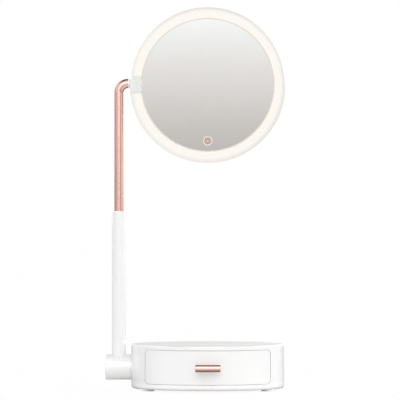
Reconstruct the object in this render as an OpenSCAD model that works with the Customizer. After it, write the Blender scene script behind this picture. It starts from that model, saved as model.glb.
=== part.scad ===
// Vanity mirror with a ring light on a telescopic side arm, standing on a round base with a drawer.
// Origin: on the table, on the axis of the round base. +X right, +Y to the back, +Z up, millimetres.

/* [Mirror head] */
// Outside diameter of the mirror head
head_d = 175.8; // [174:0.1:178]
// Diameter of the mirror glass
glass_d = 150; // [149.8:0.1:150.6]
// Thickness of the mirror glass
glass_t = 3; // [2.8:0.1:3]
// Height of the head's centre above the table
head_z = 344.2; // [340:0.1:350]
// Height of the tilt axis above the head's centre
tilt_up = 1.8; // [0:0.1:2]
// Radius of the rounded front edge of the light ring
rim_round = 4.9; // [4:0.1:5.5]
// Number of lamp chips on a full ring
led_count = 36; // [24:4:36]
// Distance of the touch mark below the head's centre
touch_down = 63.5; // [62:0.5:64]

/* [Arm] */
// Distance of the arm from the base's axis
arm_x = 100.3; // [100:0.1:101]
// Outside diameter of the upper tube
upper_d = 10.4; // [10:0.1:10.6]
// Centreline radius of the upper tube's bend
bend_r = 10.2; // [10:0.1:10.4]
// Outside diameter of the lower tube
lower_d = 15.4; // [15.2:0.1:16]
// Height of the top of the lower tube
lower_top = 201; // [198:0.5:204]
// Height of the fold axis at the foot of the arm
hinge_z = 25.7; // [24:0.1:26]
// Diameter of the hinge barrel
barrel_d = 28.5; // [28:0.1:29]
// How far the upper tube slides down
slide_travel = 90; // [60:1:90]

/* [Base] */
// Diameter of the round base
base_d = 172.4; // [172:0.1:174]
// Height of the top of the base above the table
base_top = 52; // [51.5:0.1:54]
// Height of the base's underside above the table
base_low = 2.2; // [2:0.1:2.5]
// Wall thickness of the base shell
base_wall = 2.4; // [2:0.1:2.6]
// Radius of the rounded top edge
top_round = 1.6; // [1.2:0.1:3.4]
// Diameter of a rubber foot
foot_d = 14; // [12:0.5:15]

/* [Drawer] */
// Width of the drawer mouth
mouth_w = 140.7; // [140:0.1:142]
// Height of the drawer mouth
mouth_h = 38.5; // [37:0.1:38.6]
// Gap round the drawer front
front_gap = 0.3; // [0.3:0.1:0.8]
// Outside width of the drawer tray
tray_w = 130; // [128:0.5:130]
// Height of the tray's walls above the table
tray_top = 42; // [36:0.5:43]
// Length of the handle bar
handle_l = 28; // [24:0.5:34]
// Diameter of the handle bar
handle_d = 8; // [7:0.1:9]
// How far the drawer opens
drawer_travel = 78; // [60:1:78]

/* [Hidden] */
$fn = 96;

white = [0.95, 0.94, 0.93];
cream = [0.96, 0.93, 0.88];
rose = [0.84, 0.62, 0.58];
steel = [0.66, 0.67, 0.69];
grey = [0.90, 0.90, 0.88];
dark = [0.20, 0.21, 0.22];

head_r = head_d / 2;
glass_r = glass_d / 2;
base_r = base_d / 2;
base_in = base_r - base_wall;
upper_r = upper_d / 2;
lower_r = lower_d / 2;
tube_in = lower_r - 1.2;
barrel_r = barrel_d / 2;
tilt_z = head_z + tilt_up;

// Depths in the head, measured towards the viewer from the tilt axis
face_z = 10;
glass_z = 9.4;
plate_z0 = 3.2;
plate_z1 = 5.6;
rim_z = 1.0;
back_z = -9.5;
touch_y = -touch_down;

// Along the arm hinge
boss_x = -86.6;
barrel_x0 = -115.3;
barrel_x1 = boss_x - 0.3;
web_x = -104.5;
plate_x = -80.5;

// Up the arm
tube_foot = hinge_z + 9.8;
bush_foot = lower_top - 22;
sleeve_top = bush_foot - 0.2;
sleeve_foot = sleeve_top - 30.8;
spigot_top = sleeve_foot - slide_travel - 2;

// In the base
floor_z = base_low + 2.2;
mouth_z = 27.8;
foot_at = [67, 36];
post_at = [[-76, -22], [76, -22], [-52, 60], [52, 60]];
rail_at = [[-71.4, -12], [-71.4, 20], [71.4, -12], [71.4, 20]];
peg_at = [[-42, -34], [42, -34], [-42, 34], [42, 34]];
rib_z = 24.1;
rail_front = -42;
nub_y = drawer_travel + rail_front + 3.2;

// The head's own frame: x right, y up, z towards the viewer
module in_head() translate([0, 0, head_z]) rotate([90, 0, 0]) children();
// A frame at a point of the arm's hinge or pivot, with its z along the world's X
module along_x(x, z) translate([x, 0, z]) rotate([0, 90, 0]) children();
// A frame whose z runs to the front, out of the drawer
module to_front(x, y, z) translate([x, y, z]) rotate([90, 0, 0]) children();

module round_rect(w, h, r) {
    union() {
        square([w - 2 * r, h], center = true);
        square([w, h - 2 * r], center = true);
        for (sx = [-1, 1], sy = [-1, 1]) translate([sx * (w / 2 - r), sy * (h / 2 - r)]) circle(r = r, $fn = 48);
    }
}

module slot2d(w, h) {
    union() {
        square([w - h, h], center = true);
        for (s = [-1, 1]) translate([s * (w - h) / 2, 0]) circle(r = h / 2, $fn = 48);
    }
}

// Half section of a disc with a rounded lower edge f0 and a rounded upper edge f1
module disc_half(r, z0, z1, f0, f1) {
    union() {
        translate([0, z0 + f0]) square([r, z1 - z0 - f0 - f1]);
        if (f1 > 0) {
            translate([0, z1 - f1]) square([r - f1, f1]);
            intersection() {
                translate([r - f1, z1 - f1]) circle(r = f1, $fn = 64);
                translate([r - f1, z1 - f1]) square([f1, f1]);
            }
        }
        if (f0 > 0) {
            translate([0, z0]) square([r - f0, f0]);
            intersection() {
                translate([r - f0, z0 + f0]) circle(r = f0, $fn = 64);
                translate([r - f0, z0]) square([f0, f0]);
            }
        }
    }
}

module ring(r0, r1, z0, z1, fn = 144) {
    translate([0, 0, z0]) difference() {
        cylinder(r = r1, h = z1 - z0, $fn = fn);
        translate([0, 0, -1]) cylinder(r = r0, h = z1 - z0 + 2, $fn = fn);
    }
}

module hex_nut(af, h, bore_r) {
    difference() {
        cylinder(r = af / sqrt(3), h = h, $fn = 6);
        translate([0, 0, -1]) cylinder(r = bore_r, h = h + 2, $fn = 48);
    }
}

// Pan-head screw, head up from z = 0, shank below
module pan_screw(head_r, head_h, shank_r, shank_l) {
    difference() {
        union() {
            rotate_extrude($fn = 48) disc_half(head_r, 0, head_h, 0, head_h * 0.45);
            translate([0, 0, -shank_l]) cylinder(r = shank_r, h = shank_l + 0.2, $fn = 32);
        }
        for (a = [0, 90]) rotate([0, 0, a]) translate([-head_r * 0.55, -0.3, head_h - 0.7]) cube([head_r * 1.1, 0.6, 1]);
    }
}

// ---------------------------------------------------------------- head

module rear_cover() color(white) in_head() difference() {
    union() {
        rotate_extrude($fn = 180) difference() {
            disc_half(head_r - 0.2, back_z, 0.7, 8, 0);
            disc_half(head_r - 2, back_z + 2, 2, 6.2, 0);
        }
        for (a = [45 : 90 : 315]) rotate([0, 0, a]) translate([64, 0, back_z + 1.5]) cylinder(r = 4.6, h = 3.8, $fn = 48);
    }
    // room for the pivot block
    translate([-head_r - 2, -9.85, -5.3]) cube([16, 19.7, 10]);
    // screw seats
    for (a = [45 : 90 : 315]) rotate([0, 0, a]) translate([64, 0, 0]) {
        translate([0, 0, back_z - 1]) cylinder(r = 3.1, h = 4.1, $fn = 48);
        translate([0, 0, back_z]) cylinder(r = 1.6, h = 8, $fn = 32);
    }
    // charging opening with a shallow seat round it
    translate([0, -60, back_z - 1]) linear_extrude(4) slot2d(9.8, 4);
    translate([0, -60, back_z - 1]) linear_extrude(1.5) slot2d(14, 7.6);
}

module head_frame() color(white) in_head() difference() {
    union() {
        translate([0, 0, plate_z0]) cylinder(r = 75.2, h = plate_z1 - plate_z0, $fn = 180);
        ring(73.6, 75.2, rim_z - 0.2, plate_z0 + 0.2, 180);
        ring(73.6, 85.7, rim_z - 1.6, rim_z, 180);
        for (a = [45 : 90 : 315]) rotate([0, 0, a]) translate([64, 0, -4.2]) cylinder(r = 3.6, h = 7.6, $fn = 48);
        for (sx = [-1, 1], y = [-54, -69]) translate([sx * 20, y, -1.6]) cylinder(r = 2.6, h = 5, $fn = 32);
        // battery cradle
        for (s = [-1, 1]) translate([s * 33.4 - 0.8, 4, 0.4]) cube([1.6, 20, 3]);
    }
    // room for the pivot block and its nut
    translate([-head_r - 2, -9.9, -8]) cube([head_r + 2 - 64.5, 19.8, 20]);
    // touch spring passes here
    translate([0, touch_y, -8]) cylinder(r = 7, h = 20, $fn = 48);
    // lamp leads pass here
    for (s = [-1, 1]) translate([s * 4, -80, -8]) cylinder(r = 1, h = 20, $fn = 32);
    for (a = [45 : 90 : 315]) rotate([0, 0, a]) translate([64, 0, -4.3]) cylinder(r = 1.25, h = 7, $fn = 32);
    for (sx = [-1, 1], y = [-54, -69]) translate([sx * 20, y, -1.7]) cylinder(r = 1.05, h = 5.5, $fn = 32);
    for (s = [-1, 1]) translate([-65, s * 15, plate_z0 - 0.1]) cylinder(r = 1.2, h = 2.2, $fn = 32);
}

// Half section of the whole head's outside, front edge rounded by rim_round
module head_half() {
    disc_half(head_r, back_z, face_z, 8, rim_round);
}

module light_diffuser() color(cream) in_head() difference() {
    rotate_extrude($fn = 180) difference() {
        intersection() {
            head_half();
            translate([glass_r + 0.25, rim_z]) square([40, 20]);
        }
        intersection() {
            disc_half(head_r - 1.7, back_z, face_z - 1.8, 8, rim_round - 1.7);
            translate([glass_r + 1.65, rim_z - 1]) square([40, 20]);
        }
    }
    translate([-head_r - 2, -9.85, -8]) cube([30, 19.7, 20]);
}

module mirror_glass() color([0.80, 0.83, 0.85]) in_head() difference() {
    rotate_extrude($fn = 180) polygon([[0, glass_z - glass_t], [glass_r - 0.3, glass_z - glass_t], [glass_r, glass_z - glass_t + 0.3],
        [glass_r, glass_z - 0.5], [glass_r - 0.8, glass_z], [0, glass_z]]);
    translate([0, touch_y, glass_z - 0.3]) ring(4, 6, 0, 1, 64);
    translate([0, touch_y, glass_z - 0.3]) cylinder(r = 3.75, h = 1, $fn = 64);
}

module glass_tape() color([0.85, 0.85, 0.84]) in_head() ring(30, 55, plate_z1, glass_z - glass_t, 96);

module touch_ring() color([0.93, 0.87, 0.83]) in_head() translate([0, touch_y, 0]) ring(4, 6, glass_z - 0.3, glass_z, 64);

module touch_dot() color([0.92, 0.74, 0.62]) in_head() translate([0, touch_y, glass_z - 0.3]) cylinder(r = 3.75, h = 0.3, $fn = 64);

module touch_electrode() color([0.78, 0.52, 0.32]) in_head() translate([0, touch_y, glass_z - glass_t - 0.3]) cylinder(r = 5.5, h = 0.3, $fn = 64);

module touch_spring() color(steel) in_head() translate([0, touch_y, 0]) ring(2.3, 2.8, -1.6, glass_z - glass_t - 0.3, 48);

module led_board() color([0.96, 0.96, 0.95]) in_head() difference() {
    ring(77.2, 85.6, rim_z, rim_z + 1.2, 180);
    translate([-head_r - 2, -10.4, -8]) cube([30, 20.8, 20]);
}

module led_chips() color([0.98, 0.90, 0.62]) in_head()
    for (i = [0 : led_count - 1]) let (a = (i + 0.5) * 360 / led_count)
        if (abs(a - 180) > 10) rotate([0, 0, a]) translate([81.4 - 1.4, -1.75, rim_z + 1.2]) cube([2.8, 3.5, 0.8]);

module battery_cell() color([0.72, 0.74, 0.76]) in_head() translate([-32, -10, -3.1]) intersection() {
    translate([32, 24, 0]) linear_extrude(6) round_rect(64, 48, 2.4);
    translate([0, 24, 3]) rotate([0, 90, 0]) linear_extrude(64) round_rect(6, 48, 1.6);
}

module battery_tape() color([0.9, 0.9, 0.9]) in_head() translate([-26, -4, 2.9]) cube([52, 36, 0.3]);

module driver_board() color([0.12, 0.36, 0.22]) in_head() difference() {
    translate([0, -62, -2.8]) linear_extrude(1.2) round_rect(48, 24, 1.5);
    for (sx = [-1, 1], y = [-54, -69]) translate([sx * 20, y, -4]) cylinder(r = 1.25, h = 4, $fn = 32);
}

module board_parts() color(dark) in_head() {
    translate([-14.5, -68, -4.0]) cube([6, 6, 1.2]);
    translate([9, -70, -5.0]) cube([6, 6, 2.2]);
    translate([-13, -57, -3.8]) cube([5, 4, 1.0]);
    translate([8.5, -58.5, -4.4]) cube([4.5, 3.6, 1.6]);
    for (i = [0 : 3]) translate([-15 + i * 3, -72.4, -3.6]) cube([1.6, 0.9, 0.8]);
}

module charge_inlet() color(steel) in_head() translate([0, -60, -9.2]) union() {
    difference() {
        linear_extrude(6.4) slot2d(8.94, 3.16);
        translate([0, 0, -1]) linear_extrude(6.4) slot2d(8.34, 2.56);
    }
    translate([-3.35, -0.35, 0.6]) cube([6.7, 0.7, 5]);
}

module battery_leads() color([0.75, 0.15, 0.12]) in_head() for (s = [-1, 1]) translate([s * 2, -10, -1.0]) rotate([90, 0, 0])
    cylinder(r = 0.6, h = 40, $fn = 24);

module lamp_leads() color([0.85, 0.85, 0.85]) in_head() for (s = [-1, 1]) {
    translate([s * 4, -80, -2.2]) cylinder(r = 0.5, h = 3.2, $fn = 24);
    translate([s * 4, -74, -2.2]) rotate([90, 0, 0]) cylinder(r = 0.5, h = 6, $fn = 24);
    translate([s * 4, -80, -2.2]) sphere(r = 0.5, $fn = 24);
}

module pivot_block() color(grey) in_head() difference() {
    union() {
        intersection() {
            rotate_extrude($fn = 180) head_half();
            translate([-95, -9.75, -5.2]) cube([22, 19.5, 15.2]);
        }
        for (s = [-1, 1]) {
            translate([-74, s * 8.68 - 1.07, -2]) cube([13, 2.14, 5.2]);
            translate([-69, s * 14.6 - 5.2, 0.8]) cube([8, 10.4, plate_z0 - 0.8]);
        }
    }
    // the glass and the frame's edge sit in front of the inner part
    translate([0, 0, 5.5]) cylinder(r = glass_r + 0.3, h = 8, $fn = 180);
    // bore for the stem
    translate([-100, tilt_up, 0]) rotate([0, 90, 0]) cylinder(r = 3.05, h = 40, $fn = 48);
    for (s = [-1, 1]) translate([-65, s * 15, -1]) cylinder(r = 1.3, h = 6, $fn = 32);
}

module block_screws() color(steel) in_head() for (s = [-1, 1]) translate([-65, s * 15, 0.8]) rotate([180, 0, 0]) pan_screw(2.4, 1.6, 1.15, 4.4);

module board_screws() color(steel) in_head() for (sx = [-1, 1], y = [-54, -69]) translate([sx * 20, y, -2.8]) rotate([180, 0, 0]) pan_screw(2.1, 1.3, 1.0, 5.2);

module cover_screws() color(steel) in_head() for (a = [45 : 90 : 315]) rotate([0, 0, a]) translate([64, 0, back_z + 3.1]) rotate([180, 0, 0]) pan_screw(2.8, 1.8, 1.2, 8.4);

// ---------------------------------------------------------------- upper arm

module upper_tube() color(rose) difference() {
    union() {
        translate([-arm_x, 0, sleeve_foot + 2]) cylinder(r = upper_r, h = tilt_z - bend_r - sleeve_foot - 2, $fn = 72);
        translate([-arm_x + bend_r, 0, tilt_z - bend_r]) rotate([90, 0, 0]) rotate([0, 0, 90]) rotate_extrude(angle = 90, $fn = 96)
            translate([bend_r, 0]) circle(r = upper_r, $fn = 72);
    }
    translate([-arm_x, 0, sleeve_foot]) cylinder(r = upper_r - 1, h = tilt_z - bend_r - sleeve_foot, $fn = 72);
    translate([-arm_x + bend_r, 0, tilt_z - bend_r]) rotate([90, 0, 0]) rotate([0, 0, 90]) rotate_extrude(angle = 90, $fn = 96)
        translate([bend_r, 0]) circle(r = upper_r - 1, $fn = 72);
    // groove at the back for the guide bush's key
    translate([-arm_x - 1, upper_r - 0.5, sleeve_top]) cube([2, 2, tilt_z - bend_r - 12 - sleeve_top]);
}

stem_x0 = -arm_x + bend_r;

module pivot_stem() color(steel) {
    along_x(stem_x0 - 2.4, tilt_z) cylinder(r = 3.6, h = 2.4, $fn = 48);
    along_x(stem_x0, tilt_z) cylinder(r = 3, h = -66.5 - stem_x0, $fn = 48);
}

module pivot_collar() color(cream) along_x(stem_x0, tilt_z) difference() {
    rotate_extrude($fn = 72) disc_half(upper_r, 0, -head_r - stem_x0 - 0.05, 0.3, 0.3);
    translate([0, 0, -1]) cylinder(r = 3, h = 6, $fn = 48);
}

module pivot_washer() color(dark) along_x(-73, tilt_z) ring(3.05, 5.6, 0, 0.8, 64);

module pivot_springs() color(steel) for (i = [0, 1]) along_x(-72.2 + 0.6 * i, tilt_z) difference() {
    translate([0, 0, i * 0.02]) cylinder(r1 = 4.4 + 0.8 * i, r2 = 5.2 - 0.8 * i, h = 0.56, $fn = 64);
    translate([0, 0, -1]) cylinder(r = 3.05, h = 3, $fn = 48);
}

module pivot_nut() color(steel) along_x(-71, tilt_z) hex_nut(9, 3.4, 3.02);

module slide_sleeve() color(dark) translate([-arm_x, 0, 0]) difference() {
    translate([0, 0, sleeve_foot]) cylinder(r = tube_in - 0.06, h = sleeve_top - sleeve_foot, $fn = 72);
    translate([0, 0, sleeve_foot + 2]) cylinder(r = upper_r, h = 40, $fn = 72);
    translate([0, 0, sleeve_foot - 1]) cylinder(r = 3.6, h = 5, $fn = 48);
    ring(tube_in - 0.8, tube_in + 1, sleeve_foot + 8, sleeve_foot + 10.4, 72);
}

module friction_ring() color([0.1, 0.1, 0.1]) translate([-arm_x, 0, 0]) ring(tube_in - 0.8, tube_in - 0.04, sleeve_foot + 8, sleeve_foot + 10.4, 72);

// ---------------------------------------------------------------- lower arm

module lower_tube() color(white) translate([-arm_x, 0, 0]) difference() {
    translate([0, 0, tube_foot]) cylinder(r = lower_r, h = lower_top - 1.6 - tube_foot, $fn = 96);
    translate([0, 0, tube_foot - 1]) cylinder(r = tube_in, h = lower_top, $fn = 96);
    translate([0, 0, 46]) rotate([-90, 0, 0]) cylinder(r = 2.05, h = 12, $fn = 32);
}

module guide_bush() color(white) translate([-arm_x, 0, 0]) union() {
    difference() {
        union() {
            translate([0, 0, bush_foot]) cylinder(r = tube_in - 0.02, h = 21, $fn = 72);
            translate([0, 0, lower_top - 1.6]) rotate_extrude($fn = 96) disc_half(lower_r, 0, 1.6, 0, 0.5);
        }
        translate([0, 0, bush_foot - 1]) cylinder(r = upper_r + 0.05, h = 30, $fn = 72);
    }
    // key that runs in the upper tube's groove
    translate([-0.85, upper_r - 0.4, bush_foot]) cube([1.7, 0.9, 20]);
}

module hinge_barrel() color(white) difference() {
    union() {
        along_x(barrel_x0, hinge_z) rotate_extrude($fn = 128) disc_half(barrel_r, 0, barrel_x1 - barrel_x0, 0.9, 0.3);
        translate([-arm_x, 0, hinge_z + 6]) cylinder(r = tube_in - 0.03, h = spigot_top - hinge_z - 6, $fn = 72);
    }
    // seat of the lower tube's foot
    translate([-arm_x, 0, 0]) ring(tube_in - 0.03, lower_r + 0.05, tube_foot, 50, 96);
    // bearing, spring room and cap seat
    along_x(barrel_x0 - 1, hinge_z) cylinder(r = 4.05, h = 40, $fn = 64);
    along_x(barrel_x0 - 1, hinge_z) cylinder(r = 9, h = web_x - barrel_x0 + 1, $fn = 72);
    along_x(barrel_x0 - 1, hinge_z) cylinder(r = 12.3, h = 2.9, $fn = 96);
    along_x(barrel_x1 - 0.5, hinge_z) cylinder(r = 10, h = 2, $fn = 72);
    translate([-arm_x, 1.5, 46]) rotate([-90, 0, 0]) cylinder(r = 2, h = 12, $fn = 32);
}

module barrel_cap() color(white) along_x(barrel_x0, hinge_z) rotate_extrude($fn = 96) disc_half(12.25, 0, 1.9, 0.4, 0);

module arm_set_screw() color(steel) translate([-arm_x, 1.5, 46]) rotate([-90, 0, 0]) difference() {
    cylinder(r = 1.95, h = lower_r - 1.7, $fn = 32);
    translate([0, 0, lower_r - 3.7]) cylinder(r = 1.15, h = 4, $fn = 6);
}

// ---------------------------------------------------------------- base

module base_shell() color(white) difference() {
    union() {
        difference() {
            rotate_extrude($fn = 180) difference() {
                disc_half(base_r, base_low, base_top, 2.2, top_round);
                translate([0, base_low - 1]) square([base_in, base_top - base_wall - base_low + 1]);
            }
            // drawer mouth
            to_front(0, -40, mouth_z) linear_extrude(60) round_rect(mouth_w, mouth_h, 4.5);
        }
        // flat seat of the arm's hinge, and the pad behind it
        along_x(boss_x, hinge_z) cylinder(r = barrel_r, h = plate_x - boss_x, $fn = 128);
        translate([-84, -17, hinge_z - 18.4]) cube([plate_x + 84, 34, 37.4]);
        for (p = post_at) translate([p[0], p[1], floor_z]) cylinder(r = 3.5, h = base_top - base_wall - floor_z + 0.2, $fn = 32);
    }
    along_x(-92, hinge_z) cylinder(r = 4.05, h = 16, $fn = 64);
    for (sy = [-1, 1], sz = [-1, 1]) along_x(-85, hinge_z + sz * 13) translate([0, sy * 12, 0]) cylinder(r = 1.3, h = 6, $fn = 32);
    for (p = post_at) translate([p[0], p[1], floor_z - 1]) cylinder(r = 1.3, h = 13, $fn = 32);
}

module base_bottom() color(white) difference() {
    union() {
        translate([0, 0, base_low]) cylinder(r = base_in - 0.2, h = floor_z - base_low, $fn = 180);
        // pegs and staked heads that hold the ballast plate
        for (p = peg_at) translate([p[0], p[1], floor_z - 0.2]) {
            cylinder(r = 2, h = 3.4, $fn = 32);
            translate([0, 0, 3.2]) cylinder(r = 3.4, h = 1, $fn = 32);
        }
    }
    for (sx = [-1, 1], sy = [-1, 1]) translate([sx * foot_at[0], sy * foot_at[1], base_low - 1]) cylinder(r = foot_d / 2 + 0.2, h = 1.8, $fn = 64);
    for (p = concat(post_at, rail_at)) translate([p[0], p[1], 0]) {
        translate([0, 0, base_low - 1]) cylinder(r = 1.7, h = 5, $fn = 32);
        translate([0, 0, base_low - 0.01]) cylinder(r1 = 3.2, r2 = 1.7, h = 1.5, $fn = 48);
    }
}

module feet() color([0.72, 0.72, 0.71]) for (sx = [-1, 1], sy = [-1, 1]) translate([sx * foot_at[0], sy * foot_at[1], 0])
    rotate_extrude($fn = 64) disc_half(foot_d / 2, 0, base_low + 0.8, 0.6, 0);

module ballast_plate() color(steel) difference() {
    intersection() {
        translate([0, 0, floor_z]) cylinder(r = 72, h = 3, $fn = 144);
        translate([-62, -100, floor_z - 1]) cube([124, 200, 5]);
    }
    for (p = peg_at) translate([p[0], p[1], 0]) cylinder(r = 2.1, h = 20, $fn = 32);
}

module base_screws() color(steel) for (p = concat(post_at, rail_at)) translate([p[0], p[1], base_low + 0.1]) difference() {
    union() {
        cylinder(r1 = 2.95, r2 = 1.5, h = 1.45, $fn = 48);
        translate([0, 0, 1.4]) cylinder(r = 1.2, h = 8.2, $fn = 32);
    }
    for (a = [0, 90]) rotate([0, 0, a]) translate([-1.4, -0.3, -0.5]) cube([2.8, 0.6, 1.1]);
}

module one_runner() difference() {
    union() {
        translate([tray_w / 2 + 2.6, rail_front, floor_z]) cube([2.4, 86, 26.6]);
        for (z = [rib_z - 2.1, rib_z + 5.3]) translate([tray_w / 2 + 0.5, rail_front, z]) cube([2.4, 86, 1.8]);
        translate([tray_w / 2 + 0.5, rail_front, rib_z + 3.5]) cube([2.4, 2.8, 2]);
        for (y = [-12, 20]) translate([71.4, y, floor_z]) cylinder(r = 2.6, h = 14, $fn = 32);
    }
    for (y = [-12, 20]) translate([71.4, y, floor_z - 1]) cylinder(r = 1.25, h = 12, $fn = 32);
}

module drawer_runners() color([0.88, 0.88, 0.87]) {
    one_runner();
    mirror([1, 0, 0]) one_runner();
}

module hinge_plate() color(steel) along_x(plate_x, hinge_z) difference() {
    linear_extrude(2.5) round_rect(36, 33, 3);
    intersection() {
        translate([0, 0, -1]) cylinder(r = 4.05, h = 5, $fn = 64);
        translate([-3.25, -5, -1]) cube([6.5, 10, 5]);
    }
    for (sy = [-1, 1], sz = [-1, 1]) translate([sz * 13, sy * 12, -1]) cylinder(r = 1.5, h = 5, $fn = 32);
}

module plate_screws() color(steel) for (sy = [-1, 1], sz = [-1, 1]) along_x(plate_x + 2.5, hinge_z + sz * 13)
    translate([0, sy * 12, 0]) pan_screw(2.5, 1.6, 1.2, 6.2);

module hinge_axle() color(steel) {
    along_x(-112.9, hinge_z) cylinder(r = 4, h = 112.9 + plate_x, $fn = 64);
    along_x(plate_x, hinge_z) intersection() {
        cylinder(r = 4, h = 2.5, $fn = 64);
        translate([-3.2, -5, -1]) cube([6.4, 10, 5]);
    }
    along_x(plate_x + 2.5, hinge_z) rotate_extrude($fn = 64) disc_half(6.5, 0, 3.6, 0, 0.6);
}

module hinge_washers() color(dark) {
    along_x(web_x - 0.8, hinge_z) ring(4.03, 8.6, 0, 0.8, 72);
    along_x(boss_x - 0.8, hinge_z) ring(4.03, 9.8, 0, 0.8, 72);
}

module hinge_springs() color(steel) for (i = [0, 1]) along_x(web_x - 2.0 - 1.2 * i, hinge_z) difference() {
    translate([0, 0, 0.04]) cylinder(r1 = 7.4 + 0.8 * i, r2 = 8.2 - 0.8 * i, h = 1.12, $fn = 72);
    translate([0, 0, -1]) cylinder(r = 4.03, h = 4, $fn = 64);
}

module hinge_lock_washer() color(steel) along_x(web_x - 4.2, hinge_z) ring(4.03, 8, 0, 1, 72);

module hinge_nut() color(steel) along_x(web_x - 8.2, hinge_z) hex_nut(13, 4, 4.02);

// ---------------------------------------------------------------- drawer

tray_back = 44;
tray_r = base_r - 3.2;
tray_low = 10.2;

module tray_block(r, w, back, z0, z1) intersection() {
    translate([0, 0, z0]) cylinder(r = r, h = z1 - z0, $fn = 180);
    translate([-w / 2, -100, z0 - 1]) cube([w, 100 + back, z1 - z0 + 2]);
}

module drawer_tray() color(white) difference() {
    union() {
        difference() {
            tray_block(tray_r, tray_w, tray_back, tray_low, tray_top);
            tray_block(tray_r - 1.8, tray_w - 3.6, tray_back - 1.8, tray_low + 1.8, tray_top + 5);
        }
        // side ribs that run in the guides, with a stop at the back end
        for (s = [-1, 1]) {
            translate([s * (tray_w / 2 + 1) - 1.2, -40, rib_z]) cube([2.4, tray_back + 40, 3]);
            translate([s * (tray_w / 2 + 1) - 1.2, nub_y, rib_z]) cube([2.4, tray_back - nub_y, 5]);
        }
        // flat seats of the handle screws
        for (s = [-1, 1]) to_front(s * 8.5, -79.5, mouth_z) cylinder(r = 4, h = 2.6, $fn = 48);
    }
    for (s = [-1, 1]) to_front(s * 8.5, -70, mouth_z) cylinder(r = 1.6, h = 20, $fn = 32);
}

module drawer_front() color(white) difference() {
    intersection() {
        ring(tray_r, base_r, 5, 50, 180);
        to_front(0, -30, mouth_z) linear_extrude(70) round_rect(mouth_w - 2 * front_gap, mouth_h - 2 * front_gap, 4.5 - front_gap);
    }
    for (s = [-1, 1]) to_front(s * 8.5, -70, mouth_z) cylinder(r = 2.55, h = 30, $fn = 48);
}

handle_y = -99;

module drawer_handle() color(rose) difference() {
    along_x(-handle_l / 2, mouth_z) translate([0, handle_y, 0]) rotate_extrude($fn = 72) disc_half(handle_d / 2, 0, handle_l, 0.5, 0.5);
    for (s = [-1, 1]) to_front(s * 8.5, -88, mouth_z) cylinder(r = 2.5, h = 11, $fn = 48);
}

module handle_posts() color(rose) for (s = [-1, 1]) to_front(s * 8.5, -83.1, mouth_z) difference() {
    cylinder(r = 2.5, h = 15.9, $fn = 48);
    translate([0, 0, -1]) cylinder(r = 1.5, h = 12, $fn = 32);
}

module handle_screws() color(steel) for (s = [-1, 1]) translate([s * 8.5, -79.5, mouth_z]) rotate([-90, 0, 0]) pan_screw(2.8, 1.8, 1.4, 12.6);

rear_cover();
head_frame();
light_diffuser();
mirror_glass();
glass_tape();
touch_ring();
touch_dot();
touch_electrode();
touch_spring();
led_board();
led_chips();
battery_cell();
battery_tape();
driver_board();
board_parts();
charge_inlet();
battery_leads();
lamp_leads();
pivot_block();
block_screws();
board_screws();
cover_screws();
upper_tube();
pivot_stem();
pivot_collar();
pivot_washer();
pivot_springs();
pivot_nut();
slide_sleeve();
friction_ring();
lower_tube();
guide_bush();
hinge_barrel();
barrel_cap();
arm_set_screw();
base_shell();
base_bottom();
feet();
ballast_plate();
base_screws();
drawer_runners();
hinge_plate();
plate_screws();
hinge_axle();
hinge_washers();
hinge_springs();
hinge_lock_washer();
hinge_nut();
drawer_tray();
drawer_front();
drawer_handle();
handle_posts();
handle_screws();
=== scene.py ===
"""Ring-lit vanity mirror on a telescopic folding arm, on a round base with a drawer: the finished look.

Lengths in the shape code are millimetres in the part's own frame: the origin is on the table on the axis of the
round base, +X right, +Y to the back, +Z up. They become metres when a mesh is made.
"""

import math

import bmesh
import bpy
from mathutils import Matrix, Vector


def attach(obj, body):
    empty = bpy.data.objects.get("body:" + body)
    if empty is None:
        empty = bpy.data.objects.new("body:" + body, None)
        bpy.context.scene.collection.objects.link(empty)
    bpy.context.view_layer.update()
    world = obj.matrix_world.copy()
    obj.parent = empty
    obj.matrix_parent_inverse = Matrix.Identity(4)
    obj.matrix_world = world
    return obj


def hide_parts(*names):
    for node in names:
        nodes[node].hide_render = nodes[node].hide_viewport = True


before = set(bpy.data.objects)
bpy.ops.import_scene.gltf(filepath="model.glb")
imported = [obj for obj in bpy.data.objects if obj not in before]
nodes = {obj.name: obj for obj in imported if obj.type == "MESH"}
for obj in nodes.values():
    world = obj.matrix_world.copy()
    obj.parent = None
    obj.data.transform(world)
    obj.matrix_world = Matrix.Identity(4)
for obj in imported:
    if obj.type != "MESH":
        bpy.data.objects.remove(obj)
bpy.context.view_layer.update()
scene = bpy.context.scene
MM = 0.001

# ------------------------------------------------------------------ sizes shared with the part, in mm

HEAD_Z, HEAD_R, GLASS_R = 344.2, 87.9, 75.0
FACE_Z, GLASS_Z, BACK_Z, RIM_Z = 10.0, 9.4, -9.5, 1.0
TOUCH_Y = -63.2
TILT_Z = 346.0
ARM_X, UPPER_R, BEND_R = -100.3, 5.2, 10.2
LOWER_R, LOWER_IN, LOWER_TOP, TUBE_FOOT = 7.7, 6.5, 201.9, 35.5
HINGE_Z, BARREL_R, BARREL_X0, BARREL_X1, BOSS_X = 25.7, 14.25, -115.3, -86.9, -86.6
BASE_R, BASE_IN, BASE_LOW, BASE_TOP, TOP_ROUND = 86.2, 83.8, 2.2, 52.0, 1.6
MOUTH_Z, MOUTH_W, MOUTH_H, MOUTH_R = 27.8, 140.7, 38.5, 4.5
PANEL_W, PANEL_H, PANEL_R, PANEL_IN = 140.1, 37.9, 4.2, 83.0


# ------------------------------------------------------------------ mesh tools

def turn(degrees, axis):
    return Matrix.Rotation(math.radians(degrees), 4, axis)


def at(x, y, z):
    return Matrix.Translation((x, y, z))


IN_HEAD = at(0, 0, HEAD_Z) @ turn(90, "X")


def along_x(x, z, y=0.0):
    """A frame whose z axis runs along the world's X."""
    return at(x, y, z) @ turn(90, "Y")


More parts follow.
